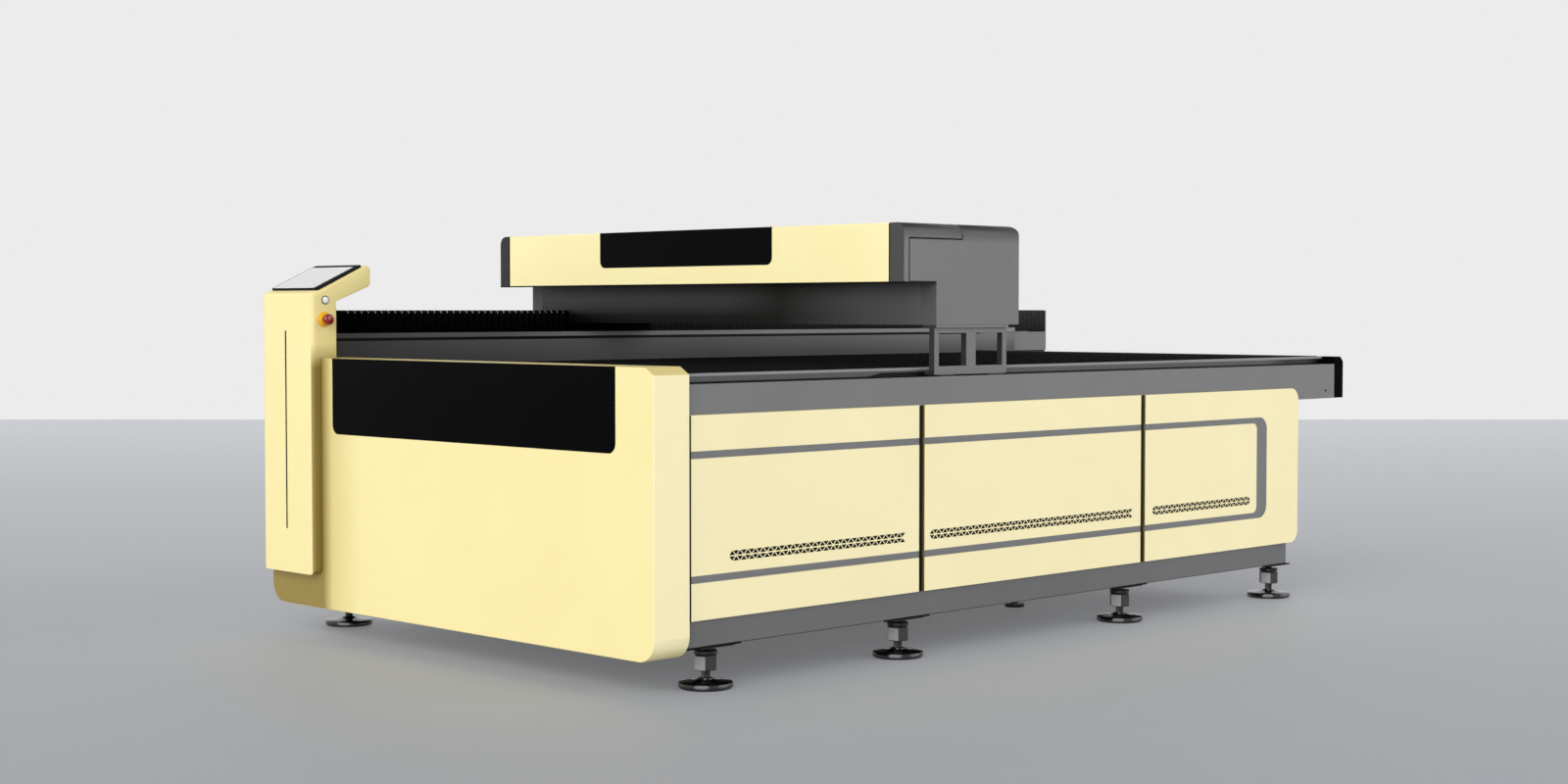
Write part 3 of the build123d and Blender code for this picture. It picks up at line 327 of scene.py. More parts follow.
# Painted reflection and painted shade across the crossbeam's front
CROSSBEAM_HIGH = ramp("X", (0, even(70)), (260, even(26)), (610, even(87)), (860, even(92)))
CROSSBEAM_LOW = ramp("X", (250, even(3)), (640, even(68)), (860, even(81)))
CROSSBEAM_SHADE = (1036, 1096)


def crossbeam_front_shade(tree, coords, paint):
    """The crossbeam's front: a painted reflection darkest at its middle, and painted shade below where the
    lid keeps the light off.
    """
    high, low = (tone(tree, coords, paint) for tone in (CROSSBEAM_HIGH, CROSSBEAM_LOW))
    return by_height(low, high, *CROSSBEAM_SHADE)(tree, coords, paint)


crossbeam_gray = finish_material(
    "crossbeam_paint",
    even(56),
    even(46),
    (0.3, 0.42),
    (500, 0.06),
    90,
    specular=0.3,
    faces=[(FRONT, crossbeam_front_shade)],
)
# The right leg's front faces are painted in shade
leg_gray = finish_material(
    "leg_paint",
    even(111),
    even(107),
    (0.34, 0.46),
    specular=0.35,
    faces=[(FRONT, even(42))],
)
RIM_DARK_REFLECTION = ramp("Y", (3050, even(76)), (3180, even(2)))
RIM_HIGHLIGHT = even(138)
RIM_EDGE = (871.5, 873.5)
RIM_FOOT = (853, 856)
SLOT_FLOOR = (860, 872)


def rim_side(tree, coords, paint):
    """The right beam's side, and the rim above it with a painted highlight along its top edge and a painted
    dark reflection at its rear end.
    """
    low = RIM_DARK_REFLECTION(tree, coords, paint)
    rim = by_height(low, RIM_HIGHLIGHT, *RIM_EDGE)(tree, coords, paint)
    return by_height(paint, rim, *RIM_FOOT)(tree, coords, paint)


# Right beam: painted shade darkens the slot's floor; the paler rim top is a painted highlight
beam_gray = finish_material(
    "beam_paint",
    even(115),
    even(111),
    (0.34, 0.46),
    specular=0.35,
    faces=[(UP, by_height(even(26), even(105), *SLOT_FLOOR)), (RIGHT, rim_side)],
)
base_gray = finish_material("base_paint", even(103), even(98), (0.38, 0.5), specular=0.3)
# The left beam's inner wall: painted shade, darker low down and towards the front, paler to the rear
WALL_HIGH = ramp(
    "Y", (250, even(54)), (870, even(89)), (1230, even(102)), (2450, even(97)), (3300, even(117))
)
WALL_LOW = ramp("Y", (250, even(47)), (1100, even(74)), (2450, even(60)), (3200, even(76)))
WALL_STRIP = ramp("Y", (250, even(70)), (870, even(98)), (1250, even(138)), (3000, even(131)))
WALL_SHADE = (890, 952)
STRIP_EDGE = (958, 960)
WALL_SPOTS = 0.15


def wall_side(tree, coords, paint):
    """The left beam's inner side: painted shade that darkens it towards the front and downwards, and a pale
    strip along its top.
    """
    high, low, strip = (tone(tree, coords, paint) for tone in (WALL_HIGH, WALL_LOW, WALL_STRIP))
    graded = by_height(low, high, *WALL_SHADE)(tree, coords, paint)
    spotted = mixed(tree, WALL_SPOTS, graded, paint)
    return by_height(spotted, strip, *STRIP_EDGE)(tree, coords, paint)


wall_gray = finish_material(
    "wall_paint",
    even(86),
    even(74),
    (0.42, 0.6),
    (320, 0.2),
    170,
    specular=0.3,
    faces=[(UP, even(80)), (RIGHT, wall_side)],
)
dark = finish_material("dark_paint", even(56), even(46), (0.2, 0.32), (500, 0.06), 90, specular=0.4)
moulding = finish_material("dark_moulding", even(3), even(2), (0.6, 0.72), (500, 0.12), specular=0.02)
oiled = finish_material("oiled_steel", even(44), even(34), (0.35, 0.5), (500, 0.06), 60, metallic=0.6)
# Olive of a cream edge in shade, for painted shade beside the panel gaps
seam_shade = finish_material(
    "seam_edge_shade", srgb(96, 82, 38), srgb(84, 71, 32), (0.6, 0.75), (400, 0.1), specular=0.2
)
line_black = finish_material("line_black", even(7), even(4), (0.5, 0.65), (400, 0.1), specular=0.15)
window_black = finish_material("black_window", even(6), even(5), (0.1, 0.18), (40, 0.01), specular=0.03)
cloth = finish_material("bellows_cloth", even(2), even(1), (0.6, 0.8), (1600, 0.3), 60, specular=0.04)
# The rear bellows' cloth is a paler copy of the front's black cloth: painted light, so its pleats show
rear_cloth = finish_material(
    "rear_bellows_cloth", even(50), even(40), (0.6, 0.8), (1600, 0.3), 60, specular=0.1
)
# A light gray for the bellows' ridges: painted highlight
ridge_highlight = finish_material("bellows_ridge_highlight", even(150), even(130), (0.4, 0.55), (900, 0.1), 60, specular=0.3)
foot_black = finish_material(
    "foot_steel", even(8), even(6), (0.12, 0.24), (300, 0.05), specular=0.5, coat=0.3
)
# Zinc for the feet's stems and nuts and for the screws, with painted light on faces turned to the front and
# painted shade on faces turned right
zinc = finish_material(
    "foot_zinc",
    even(76),
    even(62),
    (0.35, 0.5),
    (500, 0.1),
    120,
    metallic=0.3,
    faces=[(FRONT, even(162)), (RIGHT, even(52))],
)
steel = finish_material("ground_steel", even(190), even(170), (0.25, 0.4), (400, 0.05), 6, (1, 0.05, 1), 1.0)
scorched = finish_material("slat_steel", even(12), even(7), (0.6, 0.8), (120, 0.2), 9.0, specular=0.15)
alloy = finish_material("alloy", even(196), even(180), (0.28, 0.42), (700, 0.06), 8, (1, 0.1, 1), 1.0)
glass = finish_material("tube_glass", srgb(225, 232, 235), srgb(215, 224, 230), (0.03, 0.07), (30, 0.01))
GLASS_CLEAR = 0.85
glass.node_tree.nodes["Principled BSDF"].inputs["Transmission Weight"].default_value = GLASS_CLEAR
ceramic = finish_material(
    "tube_ceramic", srgb(236, 232, 224), srgb(226, 221, 212), (0.3, 0.42), (300, 0.04), 12
)
brass = finish_material(
    "nozzle_brass", srgb(200, 165, 90), srgb(184, 148, 76), (0.2, 0.34), (600, 0.05), 8, metallic=1.0
)
rubber = finish_material("belt_rubber", even(30), even(22), (0.6, 0.75), (600, 0.15), specular=0.3)
screen = finish_material("screen_glass", even(236), even(230), (0.08, 0.14), (20, 0.01), specular=0.4)
screen_edge = finish_material("screen_border", even(253), even(250), (0.2, 0.3), (60, 0.01), specular=0.4)
# The screen's white border glows a little: painted light
EDGE_GLOW = 0.12
screen_edge.node_tree.nodes["Principled BSDF"].inputs["Emission Color"].default_value = (1, 1, 1, 1)
screen_edge.node_tree.nodes["Principled BSDF"].inputs["Emission Strength"].default_value = EDGE_GLOW
bezel = finish_material("screen_bezel", even(10), even(7), (0.18, 0.28), (200, 0.03), specular=0.4)
yellow = finish_material("collar_yellow", srgb(238, 178, 8), srgb(226, 164, 6), (0.3, 0.42), (500, 0.06))
red = finish_material(
    "button_red", srgb(150, 20, 26), srgb(132, 14, 20), (0.08, 0.14), (300, 0.02), coat=0.6
)
white = finish_material("button_white", even(240), even(232), (0.12, 0.2), (200, 0.02), coat=0.3)
black_paint = finish_material("black_paint", even(28), even(22), (0.4, 0.55), (600, 0.08), specular=0.3)

# The floor glows a little, more so far off, as a lit studio floor does: painted light, which also lifts the
# shade under the machine
floor_paint = finish_material(
    "floor_paint", srgb(147, 150, 157), srgb(145, 148, 155), (0.58, 0.6), (200, 0.01), 0.4, specular=0.2
)
floor_tree = floor_paint.node_tree
floor_shader = floor_tree.nodes["Principled BSDF"]
floor_shader.inputs["Emission Color"].default_value = (0.97, 0.98, 1, 1)
floor_coords = add_node(floor_tree, "ShaderNodeTexCoord")
floor_way = add_node(floor_tree, "ShaderNodeVectorMath", operation="DOT_PRODUCT")
floor_way.inputs[1].default_value = ahead
floor_tree.links.new(floor_coords.outputs["Object"], floor_way.inputs[0])
FLOOR_GLOW = (0.11, 0.3)
FLOOR_GLOW_SPAN = (-3.0, 12.0)
floor_glow = ranged(floor_tree, floor_way.outputs["Value"], FLOOR_GLOW, FLOOR_GLOW_SPAN)
floor_tree.links.new(floor_glow, floor_shader.inputs["Emission Strength"])
floor.data.materials.append(floor_paint)

# The sky is even near the horizon, where it is the backdrop, and dims towards the zenith
BACKDROP = 0.835
ZENITH = 0.3
SKY_FADE = (0.2, 0.8)
world = bpy.data.worlds.new("backdrop")
world.use_nodes = True
sky = world.node_tree
sky_view = add_node(sky, "ShaderNodeTexCoord")
sky_split = add_node(sky, "ShaderNodeSeparateXYZ")
sky.links.new(sky_view.outputs["Generated"], sky_split.inputs["Vector"])
sky_strength = ranged(sky, sky_split.outputs["Z"], (BACKDROP, ZENITH), SKY_FADE)
sky.links.new(sky_strength, sky.nodes["Background"].inputs["Strength"])
sky.nodes["Background"].inputs["Color"].default_value = (1, 1, 1, 1)
scene.world = world


def soft_light(name, towards, energy, spread, glossy=True):
    """Wide soft light from a direction; without gloss it leaves no sheen on the floor."""
    data = bpy.data.lights.new(name, "SUN")
    data.energy = energy
    data.angle = math.radians(spread)
    light = bpy.data.objects.new(name, data)
    light.rotation_euler = Vector(towards).to_track_quat("Z", "Y").to_euler()
    light.visible_glossy = glossy
    scene.collection.objects.link(light)


soft_light("front_light", towards=(0.42, -0.78, 0.3), energy=2.5, spread=60)
soft_light("side_light", towards=(0.75, 0.6, 0.25), energy=0.8, spread=50)
soft_light("rear_light", towards=(-0.75, 0.65, 0.08), energy=1.2, spread=60, glossy=False)


# Shapes for pieces, measured in millimetres in the machine's axes
def turned(mesh, profile, origin, axis, steps=40, turned_by=0.0):
    """Surface of revolution from pairs of radius and distance along an axis; few steps make a prism."""
    turn = Vector(UP).rotation_difference(Vector(axis)).to_matrix()
    rings = []
    for radius, along in profile:
        ring = []
        for step in range(steps if radius else 1):
            angle = math.tau * step / steps + turned_by
            offset = turn @ Vector((radius * math.cos(angle), radius * math.sin(angle), along))
            ring.append(mesh.verts.new(at(*origin) + offset * MM))
        rings.append(ring)
    for low, high in zip(rings, rings[1:]):
        for step in range(steps):
            after = (step + 1) % steps
            below = (low[step % len(low)], low[after % len(low)])
            above = (high[after % len(high)], high[step % len(high)])
            mesh.faces.new(dict.fromkeys(below + above))


def threaded(mesh, origin, low, high, profile, lead, steps=24, starts=1, axis=UP):
    """Screw thread along an axis; the profile pairs each radius with its share of the pitch."""
    turn = Vector(UP).rotation_difference(Vector(axis)).to_matrix()
    count = int((high - low) / lead * steps) + 1
    lines = []
    for start in range(starts):
        for radius, share in profile:
            points = []
            for step in range(count):
                angle = math.tau * step / steps
                rise = low + lead * (step / steps + (start + share) / starts)
                offset = turn @ Vector((radius * math.cos(angle), radius * math.sin(angle), rise))
                points.append(mesh.verts.new(at(*origin) + offset * MM))
            lines.append(points)
    for before, after in zip(lines, lines[1:] + [lines[0][steps:]]):
        for step in range(len(after) - 1):
            mesh.faces.new((before[step], before[step + 1], after[step + 1], after[step]))


def block(mesh, low, high, round_by=0.3):
    """Box between two corners, with its edges rounded."""
    made = bmesh.ops.create_cube(mesh, size=1)
    spread = Vector(high) - Vector(low)
    middle = at(*((Vector(low) + Vector(high)) / 2))
    for vert in made["verts"]:
        vert.co = middle + Vector(a * b for a, b in zip(vert.co, spread)) * MM
    edges = {edge for vert in made["verts"] for edge in vert.link_edges}
    bmesh.ops.bevel(mesh, geom=list(edges), offset=round_by * MM, segments=2, affect="EDGES", profile=0.5)


def looped(mesh, loops, close=True, first_material=0):
    """Skin over loops that have as many points each, with a face over the last one."""
    rings = [[mesh.verts.new(point) for point in loop] for loop in loops]
    for low, high in zip(rings, rings[1:]):
        for step in range(len(low)):
            after = (step + 1) % len(low)
            face = mesh.faces.new((low[step], low[after], high[after], high[step]))
            face.material_index = first_material
    if close:
        mesh.faces.new(rings[-1]).material_index = first_material


def rounded(left, right, low, high, radius, steps=6):
    """Points of a rectangle with round corners."""
    points = []
    corners = ((right, low, -1), (right, high, 0), (left, high, 1), (left, low, 2))
    for side, level, quarter in corners:
        middle_u = side - radius if side == right else side + radius
        middle_v = level - radius if level == high else level + radius
        for step in range(steps + 1):
            angle = math.pi / 2 * (quarter + step / steps)
            points.append((middle_u + radius * math.cos(angle), middle_v + radius * math.sin(angle)))
    return points


def screw_head(mesh, origin, axis, radius, height):
    """Domed screw head with a round socket."""
    socket = radius * 0.45
    floor_height = height * 0.35
    profile = (
        (radius, 0),
        (radius, height * 0.35),
        (radius * 0.85, height * 0.8),
        (socket * 1.2, height),
        (socket, height * 0.95),
        (socket, floor_height),
        (0, floor_height),
    )
    turned(mesh, profile, origin, axis, steps=18)


SMOOTH_BELOW = math.radians(38)


def finished(name, mesh, materials, body, slot, *replaced):
    """Piece from a finished mesh, riding on a body, with its finish and the CAD nodes it stands for."""
    data = bpy.data.meshes.new(name)
    bmesh.ops.recalc_face_normals(mesh, faces=mesh.faces)
    mesh.to_mesh(data)
    mesh.free()
    data.shade_smooth()
    data.set_sharp_from_angle(angle=SMOOTH_BELOW)
    for material in materials:
        data.materials.append(material)
    piece = link(name, data)
    if body:
        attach(piece, body)
    if replaced:
        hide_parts(*replaced)
    return piece


# Bellows: pleated covers over the left guide, the front one with a light strip along each ridge, a painted
# highlight
PLEAT = 27 * MM
PLEAT_DEPTH = 10 * MM
RIDGE = 3.2 * MM
VALLEY = 1.2 * MM
RIDGE_CORNER = 9 * MM
CLOTH_SHEET = 0.9 * MM
CORNER_STEPS = 4


def pleat_section(low, high, y, depth):
    """Section of a bellows: up its left side, over the top and down its right side."""
    left = low.x + depth
    right = high.x - depth
    top = high.z - depth
    points = [Vector((left, y, low.z))]
    for middle_x, quarter in ((left + RIDGE_CORNER, 1), (right - RIDGE_CORNER, 0)):
        for step in range(CORNER_STEPS + 1):
            angle = math.pi / 2 * (quarter + 1 - step / CORNER_STEPS)
            reach = Vector((math.cos(angle), 0, math.sin(angle))) * RIDGE_CORNER
            points.append(Vector((middle_x, y, top - RIDGE_CORNER)) + reach)
    points.append(Vector((right, y, low.z)))
    return points


def bellows(node, sheet_cloth, highlights):
    """Pleated cover over the length of a CAD node's box, with its pleats spread evenly."""
    low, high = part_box(node)
    pleats = round((high.y - low.y) / PLEAT)
    pitch = (high.y - low.y) / pleats
    places = []
    for pleat in range(pleats):
        start = low.y + pleat * pitch
        places.append((start + RIDGE / 2, 0, False))
        places.append((start + pitch / 2 - VALLEY / 2, PLEAT_DEPTH, False))
        places.append((start + pitch / 2 + VALLEY / 2, PLEAT_DEPTH, False))
        places.append((start + pitch - RIDGE / 2, 0, highlights and pleat < pleats - 1))
    places[0] = (low.y, 0, False)
    places[-1] = (high.y, 0, False)
    mesh = bmesh.new()
    rows = []
    for y, depth, highlighted in places:
        rows.append(([mesh.verts.new(point) for point in pleat_section(low, high, y, depth)], highlighted))
    for (before, highlighted), (after, _) in zip(rows, rows[1:]):
        for step in range(len(before) - 1):
            face = mesh.faces.new((before[step], before[step + 1], after[step + 1], after[step]))
            face.material_index = 1 if highlighted and 0 < step < len(before) - 2 else 0
    piece = finished(node + "_pleats", mesh, (sheet_cloth, ridge_highlight), None, "bellows_cloth", node)
    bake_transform(piece)
    sheet = piece.modifiers.new("sheet", "SOLIDIFY")
    sheet.thickness = CLOTH_SHEET
    sheet.offset = -1


bellows("front_bellows", cloth, True)
bellows("rear_bellows", rear_cloth, False)

# Console: its body with rounded edges and a dark slit, the screen's bezel and glass, the two buttons
CONSOLE_LEFT = -950
CONSOLE_RIGHT = -654
CONSOLE_FRONT = -34
CONSOLE_BOTTOM = 208
COVER_TOP = 902
HEAD_FRONT = 1108
HEAD_TIP = (188, 1209, 1135)
SHOULDER = (58, 1084)
FRONT_ROUND = 15
SIDE_ROUND = 3
BOTTOM_ROUND = 24
TIP_ROUND = 16
SLIT = (-813, -805, 349, 990)
SLIT_DEPTH = 5
SLIT_ROUND = 1.5
STOP = (CONSOLE_RIGHT, 12, 1026)
START = (CONSOLE_RIGHT, 16, 1088)
BORE = 11.3
BORE_STEPS = 32


def rounded_corner(before, corner, after, radius, steps=5):
    """Points of an arc that rounds a corner of an outline."""
    to_before = (Vector(before) - Vector(corner)).normalized()
    to_after = (Vector(after) - Vector(corner)).normalized()
    half = to_before.angle(to_after) / 2
    middle = Vector(corner) + (to_before + to_after).normalized() * (radius / math.sin(half))
    start = Vector(corner) + to_before * (radius / math.tan(half)) - middle
    end = Vector(corner) + to_after * (radius / math.tan(half)) - middle
    points = []
    for step in range(steps + 1):
        points.append(middle + start.lerp(end, step / steps).normalized() * radius)
    return points


def console_outline():
    """Side view of the console, as pairs of point and edge radius, from the front's foot up and round."""
    foot = Vector((CONSOLE_FRONT, CONSOLE_BOTTOM))
    top = (CONSOLE_FRONT, HEAD_FRONT)
    tip = HEAD_TIP[:2]
    under = (HEAD_TIP[0], HEAD_TIP[2])
    points = [(foot, FRONT_ROUND)]
    points += [(point, FRONT_ROUND) for point in rounded_corner(foot, top, tip, TIP_ROUND)]
    points += [(point, SIDE_ROUND) for point in rounded_corner(top, tip, under, TIP_ROUND)]
    points += [(point, SIDE_ROUND) for point in rounded_corner(tip, under, SHOULDER, TIP_ROUND)]
    for corner in (SHOULDER, (SHOULDER[0], COVER_TOP), (0, COVER_TOP), (0, CONSOLE_BOTTOM)):
        points.append((Vector(corner), SIDE_ROUND))
    return points


def rounding(radius, distance):
    """How far a rounded edge draws a face in, at a distance from the edge's end face."""
    return radius - math.sqrt(radius**2 - (radius - distance) ** 2) if distance < radius else 0


def console_loop(outline, x, distance):
    """Outline of the console at a place across it, drawn in by the rounding of its edges."""
    loop = []
    for number, (point, radius) in enumerate(outline):
        before = (point - outline[number - 1][0]).normalized()
        after = (outline[(number + 1) % len(outline)][0] - point).normalized()
        inward = Vector((before.y + after.y, -before.x - after.x))
        reach = rounding(radius, distance) * 2 / max(inward.length_squared, 0.8)
        moved = point + inward * reach
        if point.y == CONSOLE_BOTTOM:
            moved = Vector((point.x + (rounding(radius, distance) if point.x < 0 else 0), point.y))
            moved.y += rounding(BOTTOM_ROUND, distance)
        loop.append(at(x, moved.x, moved.y))
    return loop


def ring_edges(mesh, points):
    """Closed loop of edges through new points."""
    verts = [mesh.verts.new(point) for point in points]
    return verts, [mesh.edges.new((verts[number - 1], vert)) for number, vert in enumerate(verts)]


mesh = bmesh.new()
outline = console_outline()
EDGE_DISTANCES = (0, 0.4, 1.4, 3, 6, 10, 15, 19, BOTTOM_ROUND)
loops = [console_loop(outline, CONSOLE_LEFT + d, d) for d in EDGE_DISTANCES]
loops += [console_loop(outline, CONSOLE_RIGHT - d, d) for d in reversed(EDGE_DISTANCES)]
rings = [[mesh.verts.new(point) for point in loop] for loop in loops]
front_ring = len(EDGE_DISTANCES) - 1
for number, (left, right) in enumerate(zip(rings, rings[1:])):
    for step in range(len(outline)):
        after = (step + 1) % len(outline)
        if number != front_ring or step != 0:
            mesh.faces.new((left[step], left[after], right[after], right[step]))
mesh.faces.new(rings[0])
# The front, with the slit's opening, and the right side, with the bores of the two buttons
slit_corners = rounded(*SLIT, SLIT_ROUND, 2)
slit_rim, rim_edges = ring_edges(mesh, [at(x, CONSOLE_FRONT, z) for x, z in slit_corners])
left, right = rings[front_ring], rings[front_ring + 1]
front_edges = [mesh.edges.get(pair) for pair in ((left[0], left[1]), (right[0], right[1]))]
front_edges += [mesh.edges.get((left[step], right[step])) for step in (0, 1)]
bmesh.ops.triangle_fill(mesh, use_beauty=True, use_dissolve=False, edges=front_edges + rim_edges)
# The slit's walls and floor are black: painted shade in the slit
slit_floor = [mesh.verts.new(at(x, CONSOLE_FRONT + SLIT_DEPTH, z)) for x, z in slit_corners]
for number, vert in enumerate(slit_rim):
    before = number - 1
    mesh.faces.new((slit_rim[before], vert, slit_floor[number], slit_floor[before])).material_index = 1
mesh.faces.new(slit_floor).material_index = 1
side_edges = [mesh.edges.get((rings[-1][step - 1], rings[-1][step])) for step in range(len(outline))]
for x, y, z in (STOP, START):
    bore = []
    for step in range(BORE_STEPS):
        angle = math.tau * step / BORE_STEPS
        bore.append(at(x, y + BORE * math.cos(angle), z + BORE * math.sin(angle)))
    side_edges += ring_edges(mesh, bore)[1]
bmesh.ops.triangle_fill(mesh, use_beauty=True, use_dissolve=False, edges=side_edges)
finished("console_body", mesh, (console_cream, line_black), "bed", "cream_paint", "console")

HEAD_RISE = 101
HEAD_RUN = 222
SCREEN_MIDDLE = (-793, 75, 1157.6)
SCREEN_WIDTH = 270
SCREEN_LENGTH = 188
SCREEN_THICK = 7
SCREEN_CORNER = 10
GLASS_CORNER = 4
GLASS_BORDER = 5
GLASS_LEVEL = SCREEN_THICK - 0.9
BEZEL_LEFT = 2
BEZEL_RIGHT = 26
BEZEL_FRONT = 7
BEZEL_BACK = 16
slope = math.atan2(HEAD_RISE, HEAD_RUN)


def on_screen(points, lift):
    """Points of the screen's plane, raised above the console's tilted face."""
    along = Vector((0, math.cos(slope), math.sin(slope)))
    out = Vector((0, -math.sin(slope), math.cos(slope)))
    middle = at(*SCREEN_MIDDLE)
    return [middle + (Vector((u, 0, 0)) + along * v + out * lift) * MM for u, v in points]


def screen_outline(inset):
    """Outline of the screen's slab, drawn in."""
    half_u = SCREEN_WIDTH / 2 - inset
    half_v = SCREEN_LENGTH / 2 - inset
    return rounded(-half_u, half_u, -half_v, half_v, SCREEN_CORNER - inset)


def glass_outline(inset):
    """Outline of the glass within the bezel, drawn in."""
    return rounded(
        -SCREEN_WIDTH / 2 + BEZEL_LEFT + inset,
        SCREEN_WIDTH / 2 - BEZEL_RIGHT - inset,
        -SCREEN_LENGTH / 2 + BEZEL_FRONT + inset,
        SCREEN_LENGTH / 2 - BEZEL_BACK - inset,
        GLASS_CORNER,
    )


mesh = bmesh.new()
loops = (
    on_screen(screen_outline(0), 0.1),
    on_screen(screen_outline(0), SCREEN_THICK - 1.4),
    on_screen(screen_outline(0.4), SCREEN_THICK - 0.5),
    on_screen(screen_outline(1.4), SCREEN_THICK - 0.05),
    on_screen(glass_outline(-1), SCREEN_THICK - 0.05),
    on_screen(glass_outline(-0.3), SCREEN_THICK - 0.3),
    on_screen(glass_outline(0), SCREEN_THICK - 1.2),
)
looped(mesh, loops, close=False)
finished("screen_bezel", mesh, (line_black,), "bed", "dark_moulding", "touch_screen")
mesh = bmesh.new()
border_loops = [on_screen(glass_outline(inset), GLASS_LEVEL) for inset in (0, GLASS_BORDER)]
looped(mesh, border_loops, close=False)
inner_loops = (border_loops[1], on_screen(glass_outline(GLASS_BORDER + 0.6), GLASS_LEVEL - 0.1))
looped(mesh, inner_loops, first_material=1)
finished("screen_pane", mesh, (screen_edge, screen), "bed", "screen_glass")

# Profiles of the buttons: pairs of radius and distance from the console's side
COLLAR_FLANGE = ((24, 0.1), (24, 1.6), (23.4, 2.4), (22.8, 2.4), (22.4, 3.2))
COLLAR_CONE = ((21, 9.6), (20.2, 11), (19, 11.8), (12, 11.8), (11.2, 11))
STOP_STEM = ((0, -4), (11, -4), (11, 17), (12, 18.2), (15.4, 19.2), (17, 20.6), (17.8, 22.8))
STOP_DOME = ((18, 25.4), (17.4, 28), (16, 30.6), (13.4, 32.6), (9.9, 33.8), (5.2, 34.3), (0, 34.4))
START_RING = ((14, 0.1), (14, 1), (13.4, 1.8), (12.6, 2), (11.6, 1.6), (11.4, 0.1))
START_CAP = ((0, -4), (11, -4), (11, 2.6), (10.5, 3.8), (9, 4.6), (5, 4.95), (0, 5))
mesh = bmesh.new()
turned(mesh, COLLAR_FLANGE + COLLAR_CONE, STOP, RIGHT, steps=48)
finished("stop_collar_ring", mesh, (yellow,), "bed", "collar_yellow", "estop_collar")
mesh = bmesh.new()
turned(mesh, STOP_STEM + STOP_DOME, STOP, RIGHT, steps=48)
finished("stop_mushroom", mesh, (red,), "stop_button", "button_red", "estop_button")
mesh = bmesh.new()
turned(mesh, START_RING, START, RIGHT)
finished("start_ring", mesh, (bezel,), "bed", "dark_moulding")
mesh = bmesh.new()
turned(mesh, START_CAP, START, RIGHT)
finished("start_cap", mesh, (white,), "start_button", "button_chrome", "power_button")

# Levelling feet: a disc on its sole and a round collar under the base, a threaded stem and a long hex nut
FOOT_X = 884
FOOT_ROWS = (250, 1046, 2163, 3070)
DISC = 77.5
DISC_RIM = ((0, 0), (DISC - 5, 0), (DISC - 3, 1.5), (DISC - 3, 3.4), (DISC - 0.8, 4), (DISC, 5))
DISC_TOP = ((DISC, 15), (DISC - 1.2, 17.4), (DISC - 4, 18.6), (52, 20.6), (30, 22.6), (22, 25.5))
DISC_NECK = ((20.5, 29), (14, 30), (13, 30))
COLLAR = ((13, 95), (30, 95), (33, 97), (33, 106), (30, 108), (13, 108))
STEM_THREAD = ((13, 0), (11.6, 0.5))
STEM_PITCH = 3
STEM_SPANS = ((28, 52), (92, 158))
NUT = ((20, 51), (32, 51), (34.6, 53), (34.6, 91), (32, 93), (13, 93))
NUT_TURN = math.radians(15)
for side, side_name in ((1, "right"), (-1, "left")):
    for number, row in enumerate(FOOT_ROWS):
        spot = (side * FOOT_X, row, 0)
        foot = "foot_%s_%d" % (side_name, number + 1)
        body = foot + "_body"
        mesh = bmesh.new()
        turned(mesh, DISC_RIM + DISC_TOP + DISC_NECK, spot, UP, steps=64)
        turned(mesh, COLLAR, spot, UP, steps=32)
        finished(foot + "_disc", mesh, (foot_black,), body, "foot_steel", foot)
        mesh = bmesh.new()
        for low, high in STEM_SPANS:
            threaded(mesh, spot, low, high, STEM_THREAD, STEM_PITCH)
        turned(mesh, NUT, spot, UP, steps=6, turned_by=NUT_TURN)
        finished(foot + "_stem", mesh, (zinc,), body, "foot_steel")

# Painted shadow in the gaps between the side panels: black sheets deep in each gap and on the near panel's
# edge, olive strips of painted shade on the far panel's edge; black sheets of painted shade in the vents
PANEL_HALF = 942
FRAME_HALF = 934
PANEL_LOW = 201
PANEL_HIGH = 768
SEAMS = (1091, 2214)
PANEL_GAP = 13
NEAR_SHADOW = 7
FAR_SHADE = 4
SHADOW_DEPTH = (0.2, 1.4)
SHADOW_THICK = 0.4
SHADOW_TOP = PANEL_HIGH - 0.5
gap_shadows = bmesh.new()
edge_shades = bmesh.new()
for side in (1, -1):
    deep = sorted(side * (FRAME_HALF + depth) for depth in SHADOW_DEPTH)
    proud = sorted((side * PANEL_HALF, side * (PANEL_HALF + SHADOW_THICK)))
    for seam in SEAMS:
        near = seam - PANEL_GAP / 2
        far = seam + PANEL_GAP / 2
        block(gap_shadows, (deep[0], near + 0.2, PANEL_LOW), (deep[1], far - 0.2, SHADOW_TOP), round_by=0.4)
        block(gap_shadows, (proud[0], near - NEAR_SHADOW, PANEL_LOW), (proud[1], near, SHADOW_TOP), round_by=0.15)
        block(edge_shades, (proud[0], far, PANEL_LOW), (proud[1], far + FAR_SHADE, SHADOW_TOP), round_by=0.15)
finished("panel_gap_shadows", gap_shadows, (line_black,), "bed", "dark_moulding")
finished("panel_edge_shades", edge_shades, (seam_shade,), "bed", "dark_moulding")

VENTS = ((283.5, 1029.5), (1122.5, 2157.5), (2262.5, 2867))
VENT_PITCH = 30
VENT_MIDDLE = 371.25
VENT_BASE = 22.4
VENT_RISE = 12.2
VENT_STEP = 16
VENT_DEPTH = (4.2, 7.2)
